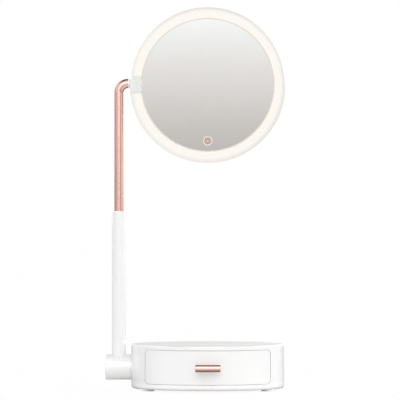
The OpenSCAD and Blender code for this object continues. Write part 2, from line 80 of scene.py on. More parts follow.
def to_front(x, y, z):
    """A frame whose z axis runs to the front, along the world's -Y."""
    return at(x, y, z) @ turn(90, "X")


def rounded(corners, step=0.35):
    """Closed outline from corners (x, y, radius), each corner turned into an arc."""
    out = []
    for i, corner in enumerate(corners):
        p = Vector(corner[:2])
        r = corner[2] if len(corner) > 2 else 0.0
        if r <= 0:
            out.append((p.x, p.y))
            continue
        u = (Vector(corners[i - 1][:2]) - p).normalized()
        v = (Vector(corners[(i + 1) % len(corners)][:2]) - p).normalized()
        half = u.angle(v) / 2
        centre = p + (u + v).normalized() * (r / math.sin(half))
        a, b = p + u * (r / math.tan(half)) - centre, p + v * (r / math.tan(half)) - centre
        a0 = math.atan2(a.y, a.x)
        sweep = (math.atan2(b.y, b.x) - a0 + math.pi) % (2 * math.pi) - math.pi
        n = max(3, min(18, round(abs(sweep) * r / step)))
        for k in range(n + 1):
            t = a0 + sweep * k / n
            out.append((centre.x + r * math.cos(t), centre.y + r * math.sin(t)))
    return out


def grown(outline, by):
    """A closed outline moved sideways by a small amount, to the right of its direction of travel."""
    out = []
    for i, (x, y) in enumerate(outline):
        ax, ay = outline[i - 1]
        bx, by_ = outline[(i + 1) % len(outline)]
        t = Vector((bx - ax, by_ - ay))
        t = t.normalized() if t.length > 1e-9 else Vector((1, 0))
        out.append((x + t.y * by, y - t.x * by))
    return out


def area(outline):
    return sum(a[0] * b[1] - b[0] * a[1] for a, b in zip(outline, outline[1:] + outline[:1])) / 2


class Shape:
    """Vertices and faces gathered in mm, then made into one mesh object in metres."""

    def __init__(self):
        self.verts, self.faces = [], []

    def add(self, verts, faces, place=None):
        base = len(self.verts)
        place = place or Matrix.Identity(4)
        self.verts += [place @ Vector(v) for v in verts]
        self.faces += [tuple(base + i for i in f) for f in faces]
        return self

    def lathe(self, outline, place=None, steps=160):
        """Full turn of a closed outline of (radius, height) about the frame's z axis."""
        n = len(outline)
        verts = [(r * math.cos(t), r * math.sin(t), z)
                 for t in (2 * math.pi * k / steps for k in range(steps)) for r, z in outline]
        faces = []
        for k in range(steps):
            for i in range(n):
                j = (i + 1) % n
                if outline[i][0] < 1e-6 and outline[j][0] < 1e-6:
                    continue
                a, b = k * n, (k + 1) % steps * n
                faces.append((a + i, b + i, b + j, a + j))
        return self.add(verts, faces, place)

    def arc(self, outline, half_gap, place=None, steps=220, keep_gap=False, soft=0.2):
        """Part turn that ends in flat sides half_gap from the x axis: all but the gap on the -x side, or only the gap."""
        n = len(outline)
        inner = grown(outline, -soft if area(outline) > 0 else soft)
        rings = [(inner, half_gap), (outline, half_gap - soft if keep_gap else half_gap + soft)]
        rows = []
        for k in range(steps + 1):
            rows.append((outline, rings[1][1], k / steps))
        rows = [(inner, half_gap, 0.0)] + rows + [(inner, half_gap, 1.0)]
        verts = []
        for shape, gap, t in rows:
            for r, z in shape:
                a = math.asin(gap / r)
                start, end = (math.pi - a, math.pi + a) if keep_gap else (math.pi + a, 3 * math.pi - a)
                th = start + (end - start) * t
                verts.append((r * math.cos(th), r * math.sin(th), z))
        faces = []
        for k in range(len(rows) - 1):
            for i in range(n):
                j = (i + 1) % n
                faces.append((k * n + i, (k + 1) * n + i, (k + 1) * n + j, k * n + j))
        last = (len(rows) - 1) * n
        faces.append(tuple(range(n)))
        faces.append(tuple(range(last + n - 1, last - 1, -1)))
        return self.add(verts, faces, place)

    def loft(self, loops, closed_ends=True, place=None):
        """Skin over loops that all have the same number of points."""
        n = len(loops[0])
        verts = [p for loop in loops for p in loop]
        faces = [(k * n + i, (k + 1) * n + i, (k + 1) * n + (i + 1) % n, k * n + (i + 1) % n)
                 for k in range(len(loops) - 1) for i in range(n)]
        if closed_ends:
            faces.append(tuple(range(n)))
            faces.append(tuple(range((len(loops) - 1) * n + n - 1, (len(loops) - 1) * n - 1, -1)))
        return self.add(verts, faces, place)

    def slab(self, x0, y0, z0, x1, y1, z1, soft=0.3, place=None):
        """A block with all its edges chamfered."""
        bm = bmesh.new()
        bmesh.ops.create_cube(bm, size=1.0)
        for v in bm.verts:
            v.co = Vector((x0 if v.co.x < 0 else x1, y0 if v.co.y < 0 else y1, z0 if v.co.z < 0 else z1))
        bmesh.ops.bevel(bm, geom=list(bm.edges), offset=soft, segments=2, profile=0.5, affect="EDGES")
        bm.verts.index_update()
        self.add([v.co.copy() for v in bm.verts], [tuple(v.index for v in f.verts) for f in bm.faces], place)
        bm.free()
        return self

    def make(self, name, merge=0.0015):
        me = bpy.data.meshes.new(name)
        me.from_pydata([v * MM for v in self.verts], [], self.faces)
        bm = bmesh.new()
        bm.from_mesh(me)
        bmesh.ops.remove_doubles(bm, verts=list(bm.verts), dist=merge * MM)
        bmesh.ops.dissolve_degenerate(bm, dist=1e-8, edges=list(bm.edges))
        bmesh.ops.recalc_face_normals(bm, faces=list(bm.faces))
        bm.to_mesh(me)
        bm.free()
        obj = bpy.data.objects.new(name, me)
        scene.collection.objects.link(obj)
        return obj


def rod(r, z0, z1, place, steps=96):
    """A plain cutter."""
    obj = Shape().lathe([(0, z0), (r, z0), (r, z1), (0, z1)], place, steps).make("cutter")
    return obj


def boolean(obj, operation, *others):
    for other in others:
        mod = obj.modifiers.new("boolean", "BOOLEAN")
        mod.operation, mod.object, mod.solver = operation, other, "EXACT"
    bpy.context.view_layer.update()
    graph = bpy.context.evaluated_depsgraph_get()
    made = bpy.data.meshes.new_from_object(obj.evaluated_get(graph))
    obj.modifiers.clear()
    old, obj.data = obj.data, made
    bpy.data.meshes.remove(old)
    for other in others:
        bpy.data.objects.remove(other)
    return obj


def cut(obj, *others):
    return boolean(obj, "DIFFERENCE", *others)


def join(obj, *others):
    return boolean(obj, "UNION", *others)


def soften(obj, pick, width, segments=2):
    """Rounds the sharp edges for which pick(middle of the edge, in mm) is true."""
    bm = bmesh.new()
    bm.from_mesh(obj.data)
    bmesh.ops.remove_doubles(bm, verts=list(bm.verts), dist=1e-6)
    edges = [e for e in bm.edges if len(e.link_faces) == 2 and e.calc_face_angle(0) > math.radians(35)
             and pick((e.verts[0].co + e.verts[1].co) / (2 * MM))]
    bmesh.ops.bevel(bm, geom=edges, offset=width * MM, segments=segments, profile=0.5, affect="EDGES", clamp_overlap=True)
    bm.to_mesh(obj.data)
    bm.free()
    return obj


def finish_piece(obj, slot, body, *replaced, sharp=34, extra=()):
    """Smooth shading with crisp edges, the material, and what the piece rides on and stands for."""
    limit = math.radians(sharp)
    bm = bmesh.new()
    bm.from_mesh(obj.data)
    for f in bm.faces:
        f.smooth = True
    for e in bm.edges:
        e.smooth = len(e.link_faces) == 2 and e.calc_face_angle(0) <= limit
    bm.to_mesh(obj.data)
    bm.free()
    obj.data.materials.clear()
    for name in (slot, *extra):
        obj.data.materials.append(looks[name])
    mod = obj.modifiers.new("weighted_normal", "WEIGHTED_NORMAL")
    mod.mode, mod.weight, mod.keep_sharp = "FACE_AREA", 60, True
    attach(obj, body)
    if replaced:
        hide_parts(*replaced)
    return obj


# ------------------------------------------------------------------ material tools

class Look:
    """A node material whose coordinates are the part's own, in mm."""

    def __init__(self, name):
        self.mat = bpy.data.materials.new(name)
        self.mat.use_nodes = True
        self.nt = self.mat.node_tree
        self.nt.nodes.clear()
        self.out = self.node("ShaderNodeOutputMaterial")
        self.bsdf = self.node("ShaderNodeBsdfPrincipled")
        self.link(self.bsdf.outputs[0], self.out.inputs[0])
        coord = self.node("ShaderNodeTexCoord")
        scale = self.node("ShaderNodeVectorMath")
        scale.operation = "SCALE"
        scale.inputs["Scale"].default_value = 1000.0
        self.link(coord.outputs["Object"], scale.inputs[0])
        self.pos = scale.outputs[0]

    def node(self, kind):
        return self.nt.nodes.new(kind)

    def link(self, a, b):
        self.nt.links.new(a, b)

    def put(self, value, socket):
        if isinstance(value, bpy.types.NodeSocket):
            self.link(value, socket)
        elif isinstance(value, (tuple, list)) and len(value) == 3 and socket.type == "RGBA":
            socket.default_value = (*value, 1.0)
        else:
            socket.default_value = value

    def stretched(self, x, y, z, vector=None):
        n = self.node("ShaderNodeVectorMath")
        n.operation = "MULTIPLY"
        self.link(vector or self.pos, n.inputs[0])
        n.inputs[1].default_value = (x, y, z)
        return n.outputs[0]

    def moved(self, x, y, z, vector=None):
        n = self.node("ShaderNodeVectorMath")
        n.operation = "SUBTRACT"
        self.link(vector or self.pos, n.inputs[0])
        n.inputs[1].default_value = (x, y, z)
        return n.outputs[0]

    def length(self, vector):
        n = self.node("ShaderNodeVectorMath")
        n.operation = "LENGTH"
        self.link(vector, n.inputs[0])
        return n.outputs["Value"]

    def noise(self, size, detail=2.0, rough=0.5, vector=None):
        """Noise whose features are about size mm."""
        n = self.node("ShaderNodeTexNoise")
        n.inputs["Scale"].default_value = 1.0 / size
        n.inputs["Detail"].default_value = detail
        n.inputs["Roughness"].default_value = rough
        self.link(vector or self.pos, n.inputs["Vector"])
        return n.outputs[0]

    def cells(self, size, vector=None, feature="F1"):
        n = self.node("ShaderNodeTexVoronoi")
        n.feature = feature
        n.inputs["Scale"].default_value = 1.0 / size
        self.link(vector or self.pos, n.inputs["Vector"])
        return n.outputs["Distance"]

    def span(self, value, a, b, lo, hi, smooth=True):
        n = self.node("ShaderNodeMapRange")
        n.interpolation_type = "SMOOTHSTEP" if smooth else "LINEAR"
        self.link(value, n.inputs["Value"])
        for key, v in (("From Min", a), ("From Max", b), ("To Min", lo), ("To Max", hi)):
            n.inputs[key].default_value = v
        return n.outputs["Result"]

    def math(self, op, a, b=0.0, c=None):
        n = self.node("ShaderNodeMath")
        n.operation = op
        self.put(a, n.inputs[0])
        self.put(b, n.inputs[1])
        if c is not None:
            self.put(c, n.inputs[2])
        return n.outputs[0]

    def mix(self, fac, a, b, blend="MIX"):
        n = self.node("ShaderNodeMix")
        n.data_type, n.blend_type = "RGBA", blend
        self.put(fac, n.inputs["Factor"])
        self.put(a, n.inputs[6])
        self.put(b, n.inputs[7])
        return n.outputs[2]

    def split(self, vector):
        n = self.node("ShaderNodeSeparateXYZ")
        self.link(vector, n.inputs[0])
        return n.outputs

    def bump(self, height, depth, strength=1.0, after=None):
        """Relief of the given depth in mm."""
        n = self.node("ShaderNodeBump")
        n.inputs["Strength"].default_value = strength
        n.inputs["Distance"].default_value = depth * MM
        self.link(height, n.inputs["Height"])
        if after is not None:
            self.link(after, n.inputs["Normal"])
        return n.outputs[0]

    def set(self, **sockets):
        for key, value in sockets.items():
            self.put(value, self.bsdf.inputs[key.replace("_", " ")])
        return self


def shade_of(colour, k):
    return tuple(max(0.0, min(1.0, c * k)) for c in colour)


def plastic(name, colour, rough, grain=0.5, relief=0.01, coat=0.0, coat_rough=0.1, tone=0.02, specular=0.5, warm=0.0, foot=None, lid=None):
    """Moulded plastic: slow tone drift, patchy gloss, fine skin texture; foot is painted light that lightens the lowest
    12 mm, lid is painted shade that darkens the flat top.
    """
    look = Look(name)
    drift = look.noise(46, 3, 0.55)
    fine = look.noise(3.5, 4, 0.6)
    lo, hi = shade_of(colour, 1 - tone), shade_of(colour, 1 + tone * 0.6)
    hi = (hi[0], hi[1] * (1 - warm * 0.4), hi[2] * (1 - warm))
    body = look.mix(look.span(drift, 0.3, 0.7, 0, 1), lo, hi)
    speck = look.cells(1.4)
    body = look.mix(look.span(speck, 0.0, 0.2, 0.25, 0.0), body, shade_of(colour, 0.97))
    # painted light: the lowest 12 mm are made lighter, to lift the band above the table out of its shade
    if foot:
        body = look.mix(look.span(look.split(look.pos)[2], 7.5, 12.0, 1.0, 0.0), body, foot)
    # painted shade: the flat top is made darker, for how the light falls on it
    if lid:
        body = look.mix(look.span(look.split(look.pos)[2], BASE_TOP - 0.5, BASE_TOP - 0.05, 0.0, 1.0), body, lid)
    look.set(Base_Color=body, Roughness=look.span(fine, 0.25, 0.75, rough * 0.86, rough * 1.16))
    skin = look.bump(look.noise(grain, 3, 0.6), relief)
    look.set(Normal=look.bump(look.noise(14, 2, 0.5), relief, after=skin))
    look.bsdf.inputs["Coat Weight"].default_value = coat
    look.bsdf.inputs["Coat IOR"].default_value = 1.7 if coat > 0.5 else 1.5
    look.bsdf.inputs["Coat Roughness"].default_value = coat_rough
    look.bsdf.inputs["Specular IOR Level"].default_value = specular
    return look


def metal(name, colour, rough, along=(1.0, 1.0, 0.02), lines=0.18, relief=0.004, tone=0.05, anisotropic=0.0, rim=1.0):
    """Worked metal: fine lines along one direction, cloudy plating, small scratches in the gloss; rim below 1 is
    painted shade that darkens it at grazing angles.
    """
    look = Look(name)
    brushed = look.noise(lines, 3, 0.7, look.stretched(*along))
    cloud = look.noise(18, 3, 0.6)
    body = look.mix(look.span(cloud, 0.3, 0.7, 0, 1), shade_of(colour, 1 - tone), shade_of(colour, 1 + tone * 0.5))
    body = look.mix(look.span(brushed, 0.35, 0.65, 0.0, 0.10 if rim == 1.0 else 0.04), body, shade_of(colour, 0.9))
    # painted shade: the base colour darkens towards the outline, where the surface turns away from the view
    if rim < 1.0:
        facing = look.node("ShaderNodeLayerWeight")
        facing.inputs["Blend"].default_value = 0.5
        body = look.mix(look.span(facing.outputs["Facing"], 0.12, 0.62, 0, 1), body, shade_of(colour, rim))
        look.bsdf.inputs["Specular Tint"].default_value = (0.66, 0.47, 0.43, 1.0)
    look.set(Base_Color=body, Metallic=1.0,
             Roughness=look.math("ADD", look.span(brushed, 0.3, 0.7, rough * 0.9, rough * 1.06), look.span(cloud, 0.3, 0.7, 0.0, rough * 0.12)))
    look.set(Normal=look.bump(brushed, relief))
    look.bsdf.inputs["Anisotropic"].default_value = anisotropic
    return look


for old in list(bpy.data.materials):
    old.name = "cad_" + old.name
slot_of = {n: o.material_slots[0].material.name[4:] for n, o in nodes.items()}
looks = {}


def keep(look, name):
    looks[name] = look.mat


# ------------------------------------------------------------------ materials

keep(plastic("white_gloss", (0.918, 0.916, 0.914), 0.34, grain=0.9, relief=0.002, coat=0.9, coat_rough=0.15, tone=0.008, warm=0.003), "white_gloss")
# white of the base, with painted light on its lowest band and painted shade on its flat top
keep(plastic("white_base", (0.918, 0.916, 0.914), 0.34, grain=0.9, relief=0.002, coat=0.9, coat_rough=0.15, tone=0.008, warm=0.003,
             foot=(0.962, 0.96, 0.957), lid=(0.82, 0.818, 0.815)), "white_base")
keep(plastic("white_matt", (0.885, 0.883, 0.88), 0.52, grain=0.35, relief=0.018, tone=0.015, warm=0.01), "white_matt")
keep(plastic("white_tube", (0.908, 0.905, 0.902), 0.32, grain=0.6, relief=0.002, coat=0.9, coat_rough=0.12, tone=0.006), "white_tube")
block = plastic("pivot_grey", (0.80, 0.797, 0.772), 0.42, grain=0.4, relief=0.012, tone=0.012)
# painted light: the outer rim of the unlit block glows faintly, to lift the shade on its rounded edge
painted_glow_radius = block.length(block.stretched(1.0, 0.0, 1.0, block.moved(0, 0, HEAD_Z)))
block.set(Emission_Color=(1.0, 0.985, 0.95), Emission_Strength=block.span(painted_glow_radius, 82.5, 87.2, 0.0, 0.15))
keep(block, "pivot_grey")
keep(plastic("collar_cream", (0.97, 0.93, 0.885), 0.34, grain=0.5, relief=0.006, coat=0.2, tone=0.02), "collar_cream")
keep(plastic("runner_plastic", (0.82, 0.82, 0.81), 0.36, grain=0.7, relief=0.01), "runner_plastic")
keep(plastic("slide_plastic", (0.14, 0.14, 0.15), 0.42, grain=0.6, relief=0.01, tone=0.12), "slide_plastic")
keep(plastic("foot_rubber", (0.92, 0.92, 0.915), 0.55, grain=0.3, relief=0.03, tone=0.06, specular=0.3), "foot_rubber")
# painted light: the pale feet glow faintly, to lift them out of the shade under the base
looks["foot_rubber"].node_tree.nodes["Principled BSDF"].inputs["Emission Color"].default_value = (1.0, 1.0, 0.99, 1.0)
looks["foot_rubber"].node_tree.nodes["Principled BSDF"].inputs["Emission Strength"].default_value = 0.13
keep(plastic("black_rubber", (0.035, 0.035, 0.037), 0.66, grain=0.3, relief=0.03, tone=0.15, specular=0.3), "black_rubber")
keep(plastic("board_parts", (0.05, 0.05, 0.055), 0.5, grain=0.25, relief=0.01, tone=0.2), "board_parts")
keep(plastic("lamp_board", (0.90, 0.90, 0.89), 0.4, grain=0.3, relief=0.006), "lamp_board")
keep(plastic("lead_red", (0.60, 0.06, 0.045), 0.38, grain=0.4, relief=0.008, tone=0.08), "lead_red")
keep(plastic("lead_white", (0.80, 0.80, 0.79), 0.38, grain=0.4, relief=0.008), "lead_white")

keep(metal("rose_metal", (0.93, 0.567, 0.498), 0.17, along=(1.0, 1.0, 0.012), lines=0.4, relief=0.0003, tone=0.015, rim=0.50), "rose_metal")
keep(metal("rose_bar", (0.93, 0.567, 0.498), 0.17, along=(0.012, 1.0, 1.0), lines=0.4, relief=0.0003, tone=0.015, rim=0.50), "rose_bar")
keep(metal("plated_steel", (0.66, 0.67, 0.68), 0.30, along=(0.05, 1, 1), lines=0.25, relief=0.006), "plated_steel")
keep(metal("spring_steel", (0.50, 0.51, 0.53), 0.26, along=(0.05, 1, 1), lines=0.2, relief=0.004), "spring_steel")
keep(metal("screw_steel", (0.62, 0.63, 0.64), 0.28, along=(1, 0.1, 1), lines=0.12, relief=0.004), "screw_steel")
keep(metal("ballast_steel", (0.42, 0.42, 0.43), 0.46, along=(0.03, 1, 1), lines=0.5, relief=0.02, tone=0.14), "ballast_steel")
keep(metal("copper", (0.80, 0.44, 0.28), 0.34, along=(0.2, 1, 1), lines=0.2, relief=0.004, tone=0.1), "copper")


def foam_look():
    look = plastic("foam_tape", (0.82, 0.82, 0.81), 0.85, grain=0.5, relief=0.04, specular=0.2)
    pores = look.cells(0.45)
    look.set(Normal=look.bump(pores, 0.08))
    return look


def fibre_look():
    look = plastic("friction_fibre", (0.13, 0.11, 0.10), 0.8, grain=0.2, relief=0.02, tone=0.2, specular=0.2)
    threads = look.noise(0.22, 4, 0.75, look.stretched(1.0, 1.0, 0.15))
    look.set(Base_Color=look.mix(look.span(threads, 0.35, 0.7, 0, 1), (0.10, 0.085, 0.08), (0.20, 0.175, 0.155)))
    return look


def foil_look():
    look = metal("battery_foil", (0.70, 0.71, 0.73), 0.34, along=(1, 1, 1), lines=2.2, relief=0.05, tone=0.08)
    creases = look.cells(5.0, feature="DISTANCE_TO_EDGE")
    look.set(Normal=look.bump(look.span(creases, 0.0, 0.25, 0.0, 1.0), 0.12, after=look.bump(look.noise(2.0, 4, 0.6), 0.06)))
    return look


def board_look():
    look = Look("circuit_board")
    x, _, z = look.split(look.pos)
    tracks = look.math("LESS_THAN", look.math("ABSOLUTE", look.math("SUBTRACT", look.math("FRACT", look.math("MULTIPLY", x, 0.42)), 0.5)), 0.14)
    blocks = look.math("GREATER_THAN", look.noise(6.0, 1, 0.5), 0.5)
    pads = look.math("LESS_THAN", look.cells(2.6), 0.2)
    copper = look.math("MULTIPLY", tracks, blocks)
    body = look.mix(copper, (0.012, 0.16, 0.07), (0.03, 0.27, 0.12))
    body = look.mix(pads, body, (0.72, 0.70, 0.60))
    look.set(Base_Color=body, Roughness=look.span(look.noise(3, 2), 0.3, 0.7, 0.3, 0.42))
    look.set(Normal=look.bump(copper, 0.02))
    return look


def lamp_look():
    """Phosphor window in a pale case."""
    look = Look("lamp_chips")
    body = look.mix(look.span(look.noise(0.7, 2), 0.3, 0.7, 0, 1), (0.95, 0.76, 0.22), (0.98, 0.86, 0.42))
    look.set(Base_Color=body, Roughness=look.span(look.noise(0.5, 2), 0.3, 0.7, 0.25, 0.4), Emission_Color=(1.0, 0.86, 0.62))
    look.bsdf.inputs["Emission Strength"].default_value = 1.5
    return look


def ring_look():
    """Milky ring lit from inside: even over its face, weaker round the outer edge and down the side; that fall-off is
    partly painted shade of the rounded rim, darker at the upper right than at the lower left.
    """
    look = Look("milky_ring")
    x, y, z = look.split(look.moved(0, 0, HEAD_Z))
    radius = look.math("SQRT", look.math("ADD", look.math("MULTIPLY", x, x), look.math("MULTIPLY", z, z)))
    depth = look.math("MULTIPLY", y, -1.0)                       # 10 at the face, 1 at the back edge
    # painted shade: the outer edge is dimmed, more at the upper right than at the lower left
    painted_shade_lean = look.math("DIVIDE", look.math("ADD", x, z), radius)      # 1.4 at the upper right, -1.4 at the lower left
    rim = look.mix(look.span(radius, 81.9, 87.2, 0.0, 1.0), (1, 1, 1), look.math("MULTIPLY_ADD", painted_shade_lean, -0.065, 0.84))
    inner = look.span(radius, 75.4, 76.3, 0.93, 1.0)
    side = look.span(depth, 1.0, 7.5, 0.80, 1.0)
    angle = look.math("ARCTAN2", z, x)
    lamp = look.math("COSINE", look.math("MULTIPLY", look.math("ADD", angle, math.radians(5)), 36.0))
    spots = look.math("MULTIPLY_ADD", look.math("MULTIPLY", lamp, look.span(look.math("ABSOLUTE", look.math("SUBTRACT", radius, 81.4)), 0.5, 4.5, 1.0, 0.0)), 0.006, 1.0)
    cloud = look.span(look.noise(9, 3, 0.6), 0.3, 0.7, 0.99, 1.004)
    light = look.math("MULTIPLY", look.math("MULTIPLY", look.math("MULTIPLY", rim, inner), side), look.math("MULTIPLY", spots, cloud))
    warm = look.mix(look.span(radius, 82.0, 87.5, 0.0, 1.0), (1.0, 0.945, 0.865), (1.0, 0.955, 0.90))
    look.set(Base_Color=look.mix(look.span(look.noise(5, 3), 0.3, 0.7, 0, 1), (0.215, 0.213, 0.208), (0.23, 0.228, 0.223)),
             Roughness=look.span(look.noise(2.5, 3), 0.3, 0.7, 0.30, 0.38), Emission_Color=warm,
             Emission_Strength=look.math("MULTIPLY", light, RING_LIGHT))
    look.set(Normal=look.bump(look.noise(0.5, 2), 0.004))
    return look


def mirror_look():
    """Silvered glass: crisp, with the faintest haze of handling."""
    look = Look("mirror")
    haze = look.noise(26, 5, 0.62)
    wipe = look.noise(1.6, 3, 0.6, look.stretched(1.0, 1.0, 0.06))
    look.set(Base_Color=look.mix(look.span(haze, 0.35, 0.75, 0, 1), (0.905, 0.903, 0.90), (0.917, 0.915, 0.912)), Metallic=1.0,
             Roughness=look.math("ADD", look.span(haze, 0.45, 0.8, 0.012, 0.03), look.span(wipe, 0.55, 0.8, 0.0, 0.012)))
    return look


def bevel_look():
    """Polished bevel: the silver seen through glass that darkens and greens slightly."""
    look = Look("mirror_bevel")
    look.set(Base_Color=look.mix(look.span(look.noise(6, 2), 0.3, 0.7, 0, 1), (0.84, 0.865, 0.845), (0.89, 0.91, 0.89)), Metallic=1.0,
             Roughness=look.span(look.noise(2.0, 2), 0.3, 0.7, 0.05, 0.10))
    # painted light: the bevel glows faintly at the left, level with the centre, where it meets the unlit block, to
    # lighten the dark line there
    x, y, z = look.split(look.pos)
    left = look.span(x, -GLASS_R + 1.2, -GLASS_R + 0.2, 0.0, 1.0)
    low = look.span(look.math("ABSOLUTE", look.math("SUBTRACT", z, HEAD_Z)), 9.2, 10.2, 1.0, 0.0)
    look.set(Emission_Color=(1.0, 0.985, 0.96), Emission_Strength=look.math("MULTIPLY", look.math("MULTIPLY", left, low), 0.34))
    return look


def glass_edge_look():
    look = Look("glass_edge")
    depth = look.math("MULTIPLY", look.split(look.pos)[1], -1.0)
    look.set(Base_Color=look.mix(look.span(depth, 6.4, 9.4, 0, 1), (0.38, 0.46, 0.42), (0.60, 0.67, 0.63)),
             Roughness=look.span(look.noise(0.7, 3), 0.3, 0.7, 0.22, 0.36))
    look.set(Normal=look.bump(look.noise(0.25, 2), 0.01))
    return look


def mirror_back_look():
    look = plastic("mirror_back", (0.34, 0.35, 0.36), 0.5, grain=0.6, relief=0.012, tone=0.06)
    return look


def touch_ring_look():
    look = Look("touch_cream")
    look.set(Base_Color=look.mix(look.span(look.cells(0.35), 0.0, 0.5, 0, 1), (0.66, 0.58, 0.53), (0.71, 0.625, 0.575)),
             Roughness=look.span(look.noise(0.4, 2), 0.3, 0.7, 0.5, 0.62), Emission_Color=(1.0, 0.86, 0.78))
    look.bsdf.inputs["Emission Strength"].default_value = 0.06
    return look


def touch_dot_look():
    """Amber window lit from behind, brightest in the middle."""
    look = Look("touch_amber")
    away = look.length(look.stretched(1.0, 0.0, 1.0, look.moved(0, 0, HEAD_Z + TOUCH_Y)))
    glow = look.span(away, 0.2, 3.4, 1.0, 0.28)
    grain = look.span(look.noise(0.3, 2), 0.3, 0.7, 0.94, 1.03)
    look.set(Base_Color=look.mix(look.span(away, 0.5, 3.6, 0, 1), (0.50, 0.335, 0.235), (0.40, 0.285, 0.215)),
             Roughness=look.span(look.noise(0.4, 2), 0.3, 0.7, 0.42, 0.55),
             Emission_Color=look.mix(look.span(away, 0.2, 3.0, 0, 1), (1.0, 0.60, 0.40), (0.90, 0.56, 0.42)),
             Emission_Strength=look.math("MULTIPLY", look.math("MULTIPLY", glow, grain), 0.24))
    return look


RING_LIGHT = 0.722
for made in (foam_look(), fibre_look(), foil_look(), board_look(), lamp_look(), ring_look(), mirror_look(), bevel_look(),
             glass_edge_look(), mirror_back_look(), touch_ring_look(), touch_dot_look()):
    looks[made.mat.name] = made.mat

# every node of the frame takes its finish from here
for name, obj in nodes.items():
    for s in obj.material_slots:
        s.material = looks[slot_of[name]]


# ------------------------------------------------------------------ head

def light_diffuser():
    outline = rounded([(HEAD_R, RIM_Z, 0.25), (HEAD_R, FACE_Z, 4.9), (GLASS_R + 0.16, FACE_Z, 0.3), (GLASS_R + 0.16, RIM_Z, 0.2),
                       (GLASS_R + 1.65, RIM_Z, 0.2), (GLASS_R + 1.65, 8.2, 0.5), (HEAD_R - 1.7, 8.2, 3.2), (HEAD_R - 1.7, RIM_Z, 0.2)])
    obj = Shape().arc(outline, 9.85, IN_HEAD, steps=300, soft=0.08).make("ring_diffuser")
    return finish_piece(obj, "milky_ring", "head", "light_diffuser")


def mirror_glass():
    outline = [(0, 6.4), (GLASS_R - 0.3, 6.4), (GLASS_R, 6.7), (GLASS_R, GLASS_Z - 0.5), (GLASS_R - 0.8, GLASS_Z), (0, GLASS_Z)]
    obj = Shape().lathe(outline, IN_HEAD, 360).make("glass_disc")
    seat = IN_HEAD @ at(0, TOUCH_Y, 0)
    cut(obj, Shape().lathe([(3.9, GLASS_Z - 0.3), (5.65, GLASS_Z - 0.3), (5.65, GLASS_Z + 1), (3.9, GLASS_Z + 1)], seat, 96).make("cutter"),
        rod(3.65, GLASS_Z - 0.3, GLASS_Z + 1, seat))
    finish_piece(obj, "mirror", "head", "mirror_glass", sharp=20, extra=("mirror_bevel", "glass_edge", "mirror_back"))
    for f in obj.data.polygons:
        c, n = f.center / MM, f.normal
        r = math.hypot(c.x, c.z - HEAD_Z)
        if n.y > 0.9 and c.y > -7:
            f.material_index = 3
        elif r > GLASS_R - 0.7 and n.y < -0.5:
            f.material_index = 1
        elif r > GLASS_R - 0.7:
            f.material_index = 2
    return obj


def touch_mark():
    seat = IN_HEAD @ at(0, TOUCH_Y, 0)
    ring = Shape().lathe(rounded([(3.92, GLASS_Z - 0.29), (5.63, GLASS_Z - 0.29), (5.63, GLASS_Z, 0.05), (3.92, GLASS_Z, 0.05)], 0.03), seat, 120)
    finish_piece(ring.make("touch_print_ring"), "touch_cream", "head", "touch_ring")
    dot = Shape().lathe([(0, GLASS_Z - 0.29), (3.63, GLASS_Z - 0.29), (3.63, GLASS_Z - 0.06), (3.58, GLASS_Z - 0.01), (2.6, GLASS_Z), (0, GLASS_Z)], seat, 96)
    finish_piece(dot.make("touch_window"), "touch_amber", "head", "touch_dot")


def pivot_block():
    """The unlit piece of the ring that holds the pivot."""
    outer = [(86.99, -5.2)] + [(79.9 + 8 * math.cos(math.radians(a)), -1.5 + 8 * math.sin(math.radians(a))) for a in range(-24, 1, 4)]
    face = rounded([(HEAD_R, 2.0), (HEAD_R, FACE_Z, 4.9), (GLASS_R + 0.08, FACE_Z, 0.15), (GLASS_R + 0.08, 5.5, 0.15), (73.2, 5.5, 0.2), (73.2, -5.2, 0.2)])[1:]
    obj = Shape().arc(outer + face, 9.75, IN_HEAD, steps=24, keep_gap=True, soft=0.08).make("pivot_housing")
    tabs = Shape()
    for s in (-1, 1):
        tabs.slab(-74.2, s * 8.68 - 1.07, -2, -61, s * 8.68 + 1.07, 3.2, 0.15, IN_HEAD)
    lugs = Shape()
    for s in (-1, 1):
        lugs.slab(-69, s * 14.6 - 5.2, 0.8, -61, s * 14.6 + 5.2, 3.2, 0.3, IN_HEAD)
    join(obj, tabs.make("cutter"), lugs.make("cutter"))
    cut(obj, rod(3.05, -100, -50, along_x(0, TILT_Z), 64),
        *(rod(1.3, -1, 6, IN_HEAD @ at(-65, s * 15, 0), 32) for s in (-1, 1)))
    return finish_piece(obj, "pivot_grey", "head", "pivot_block")


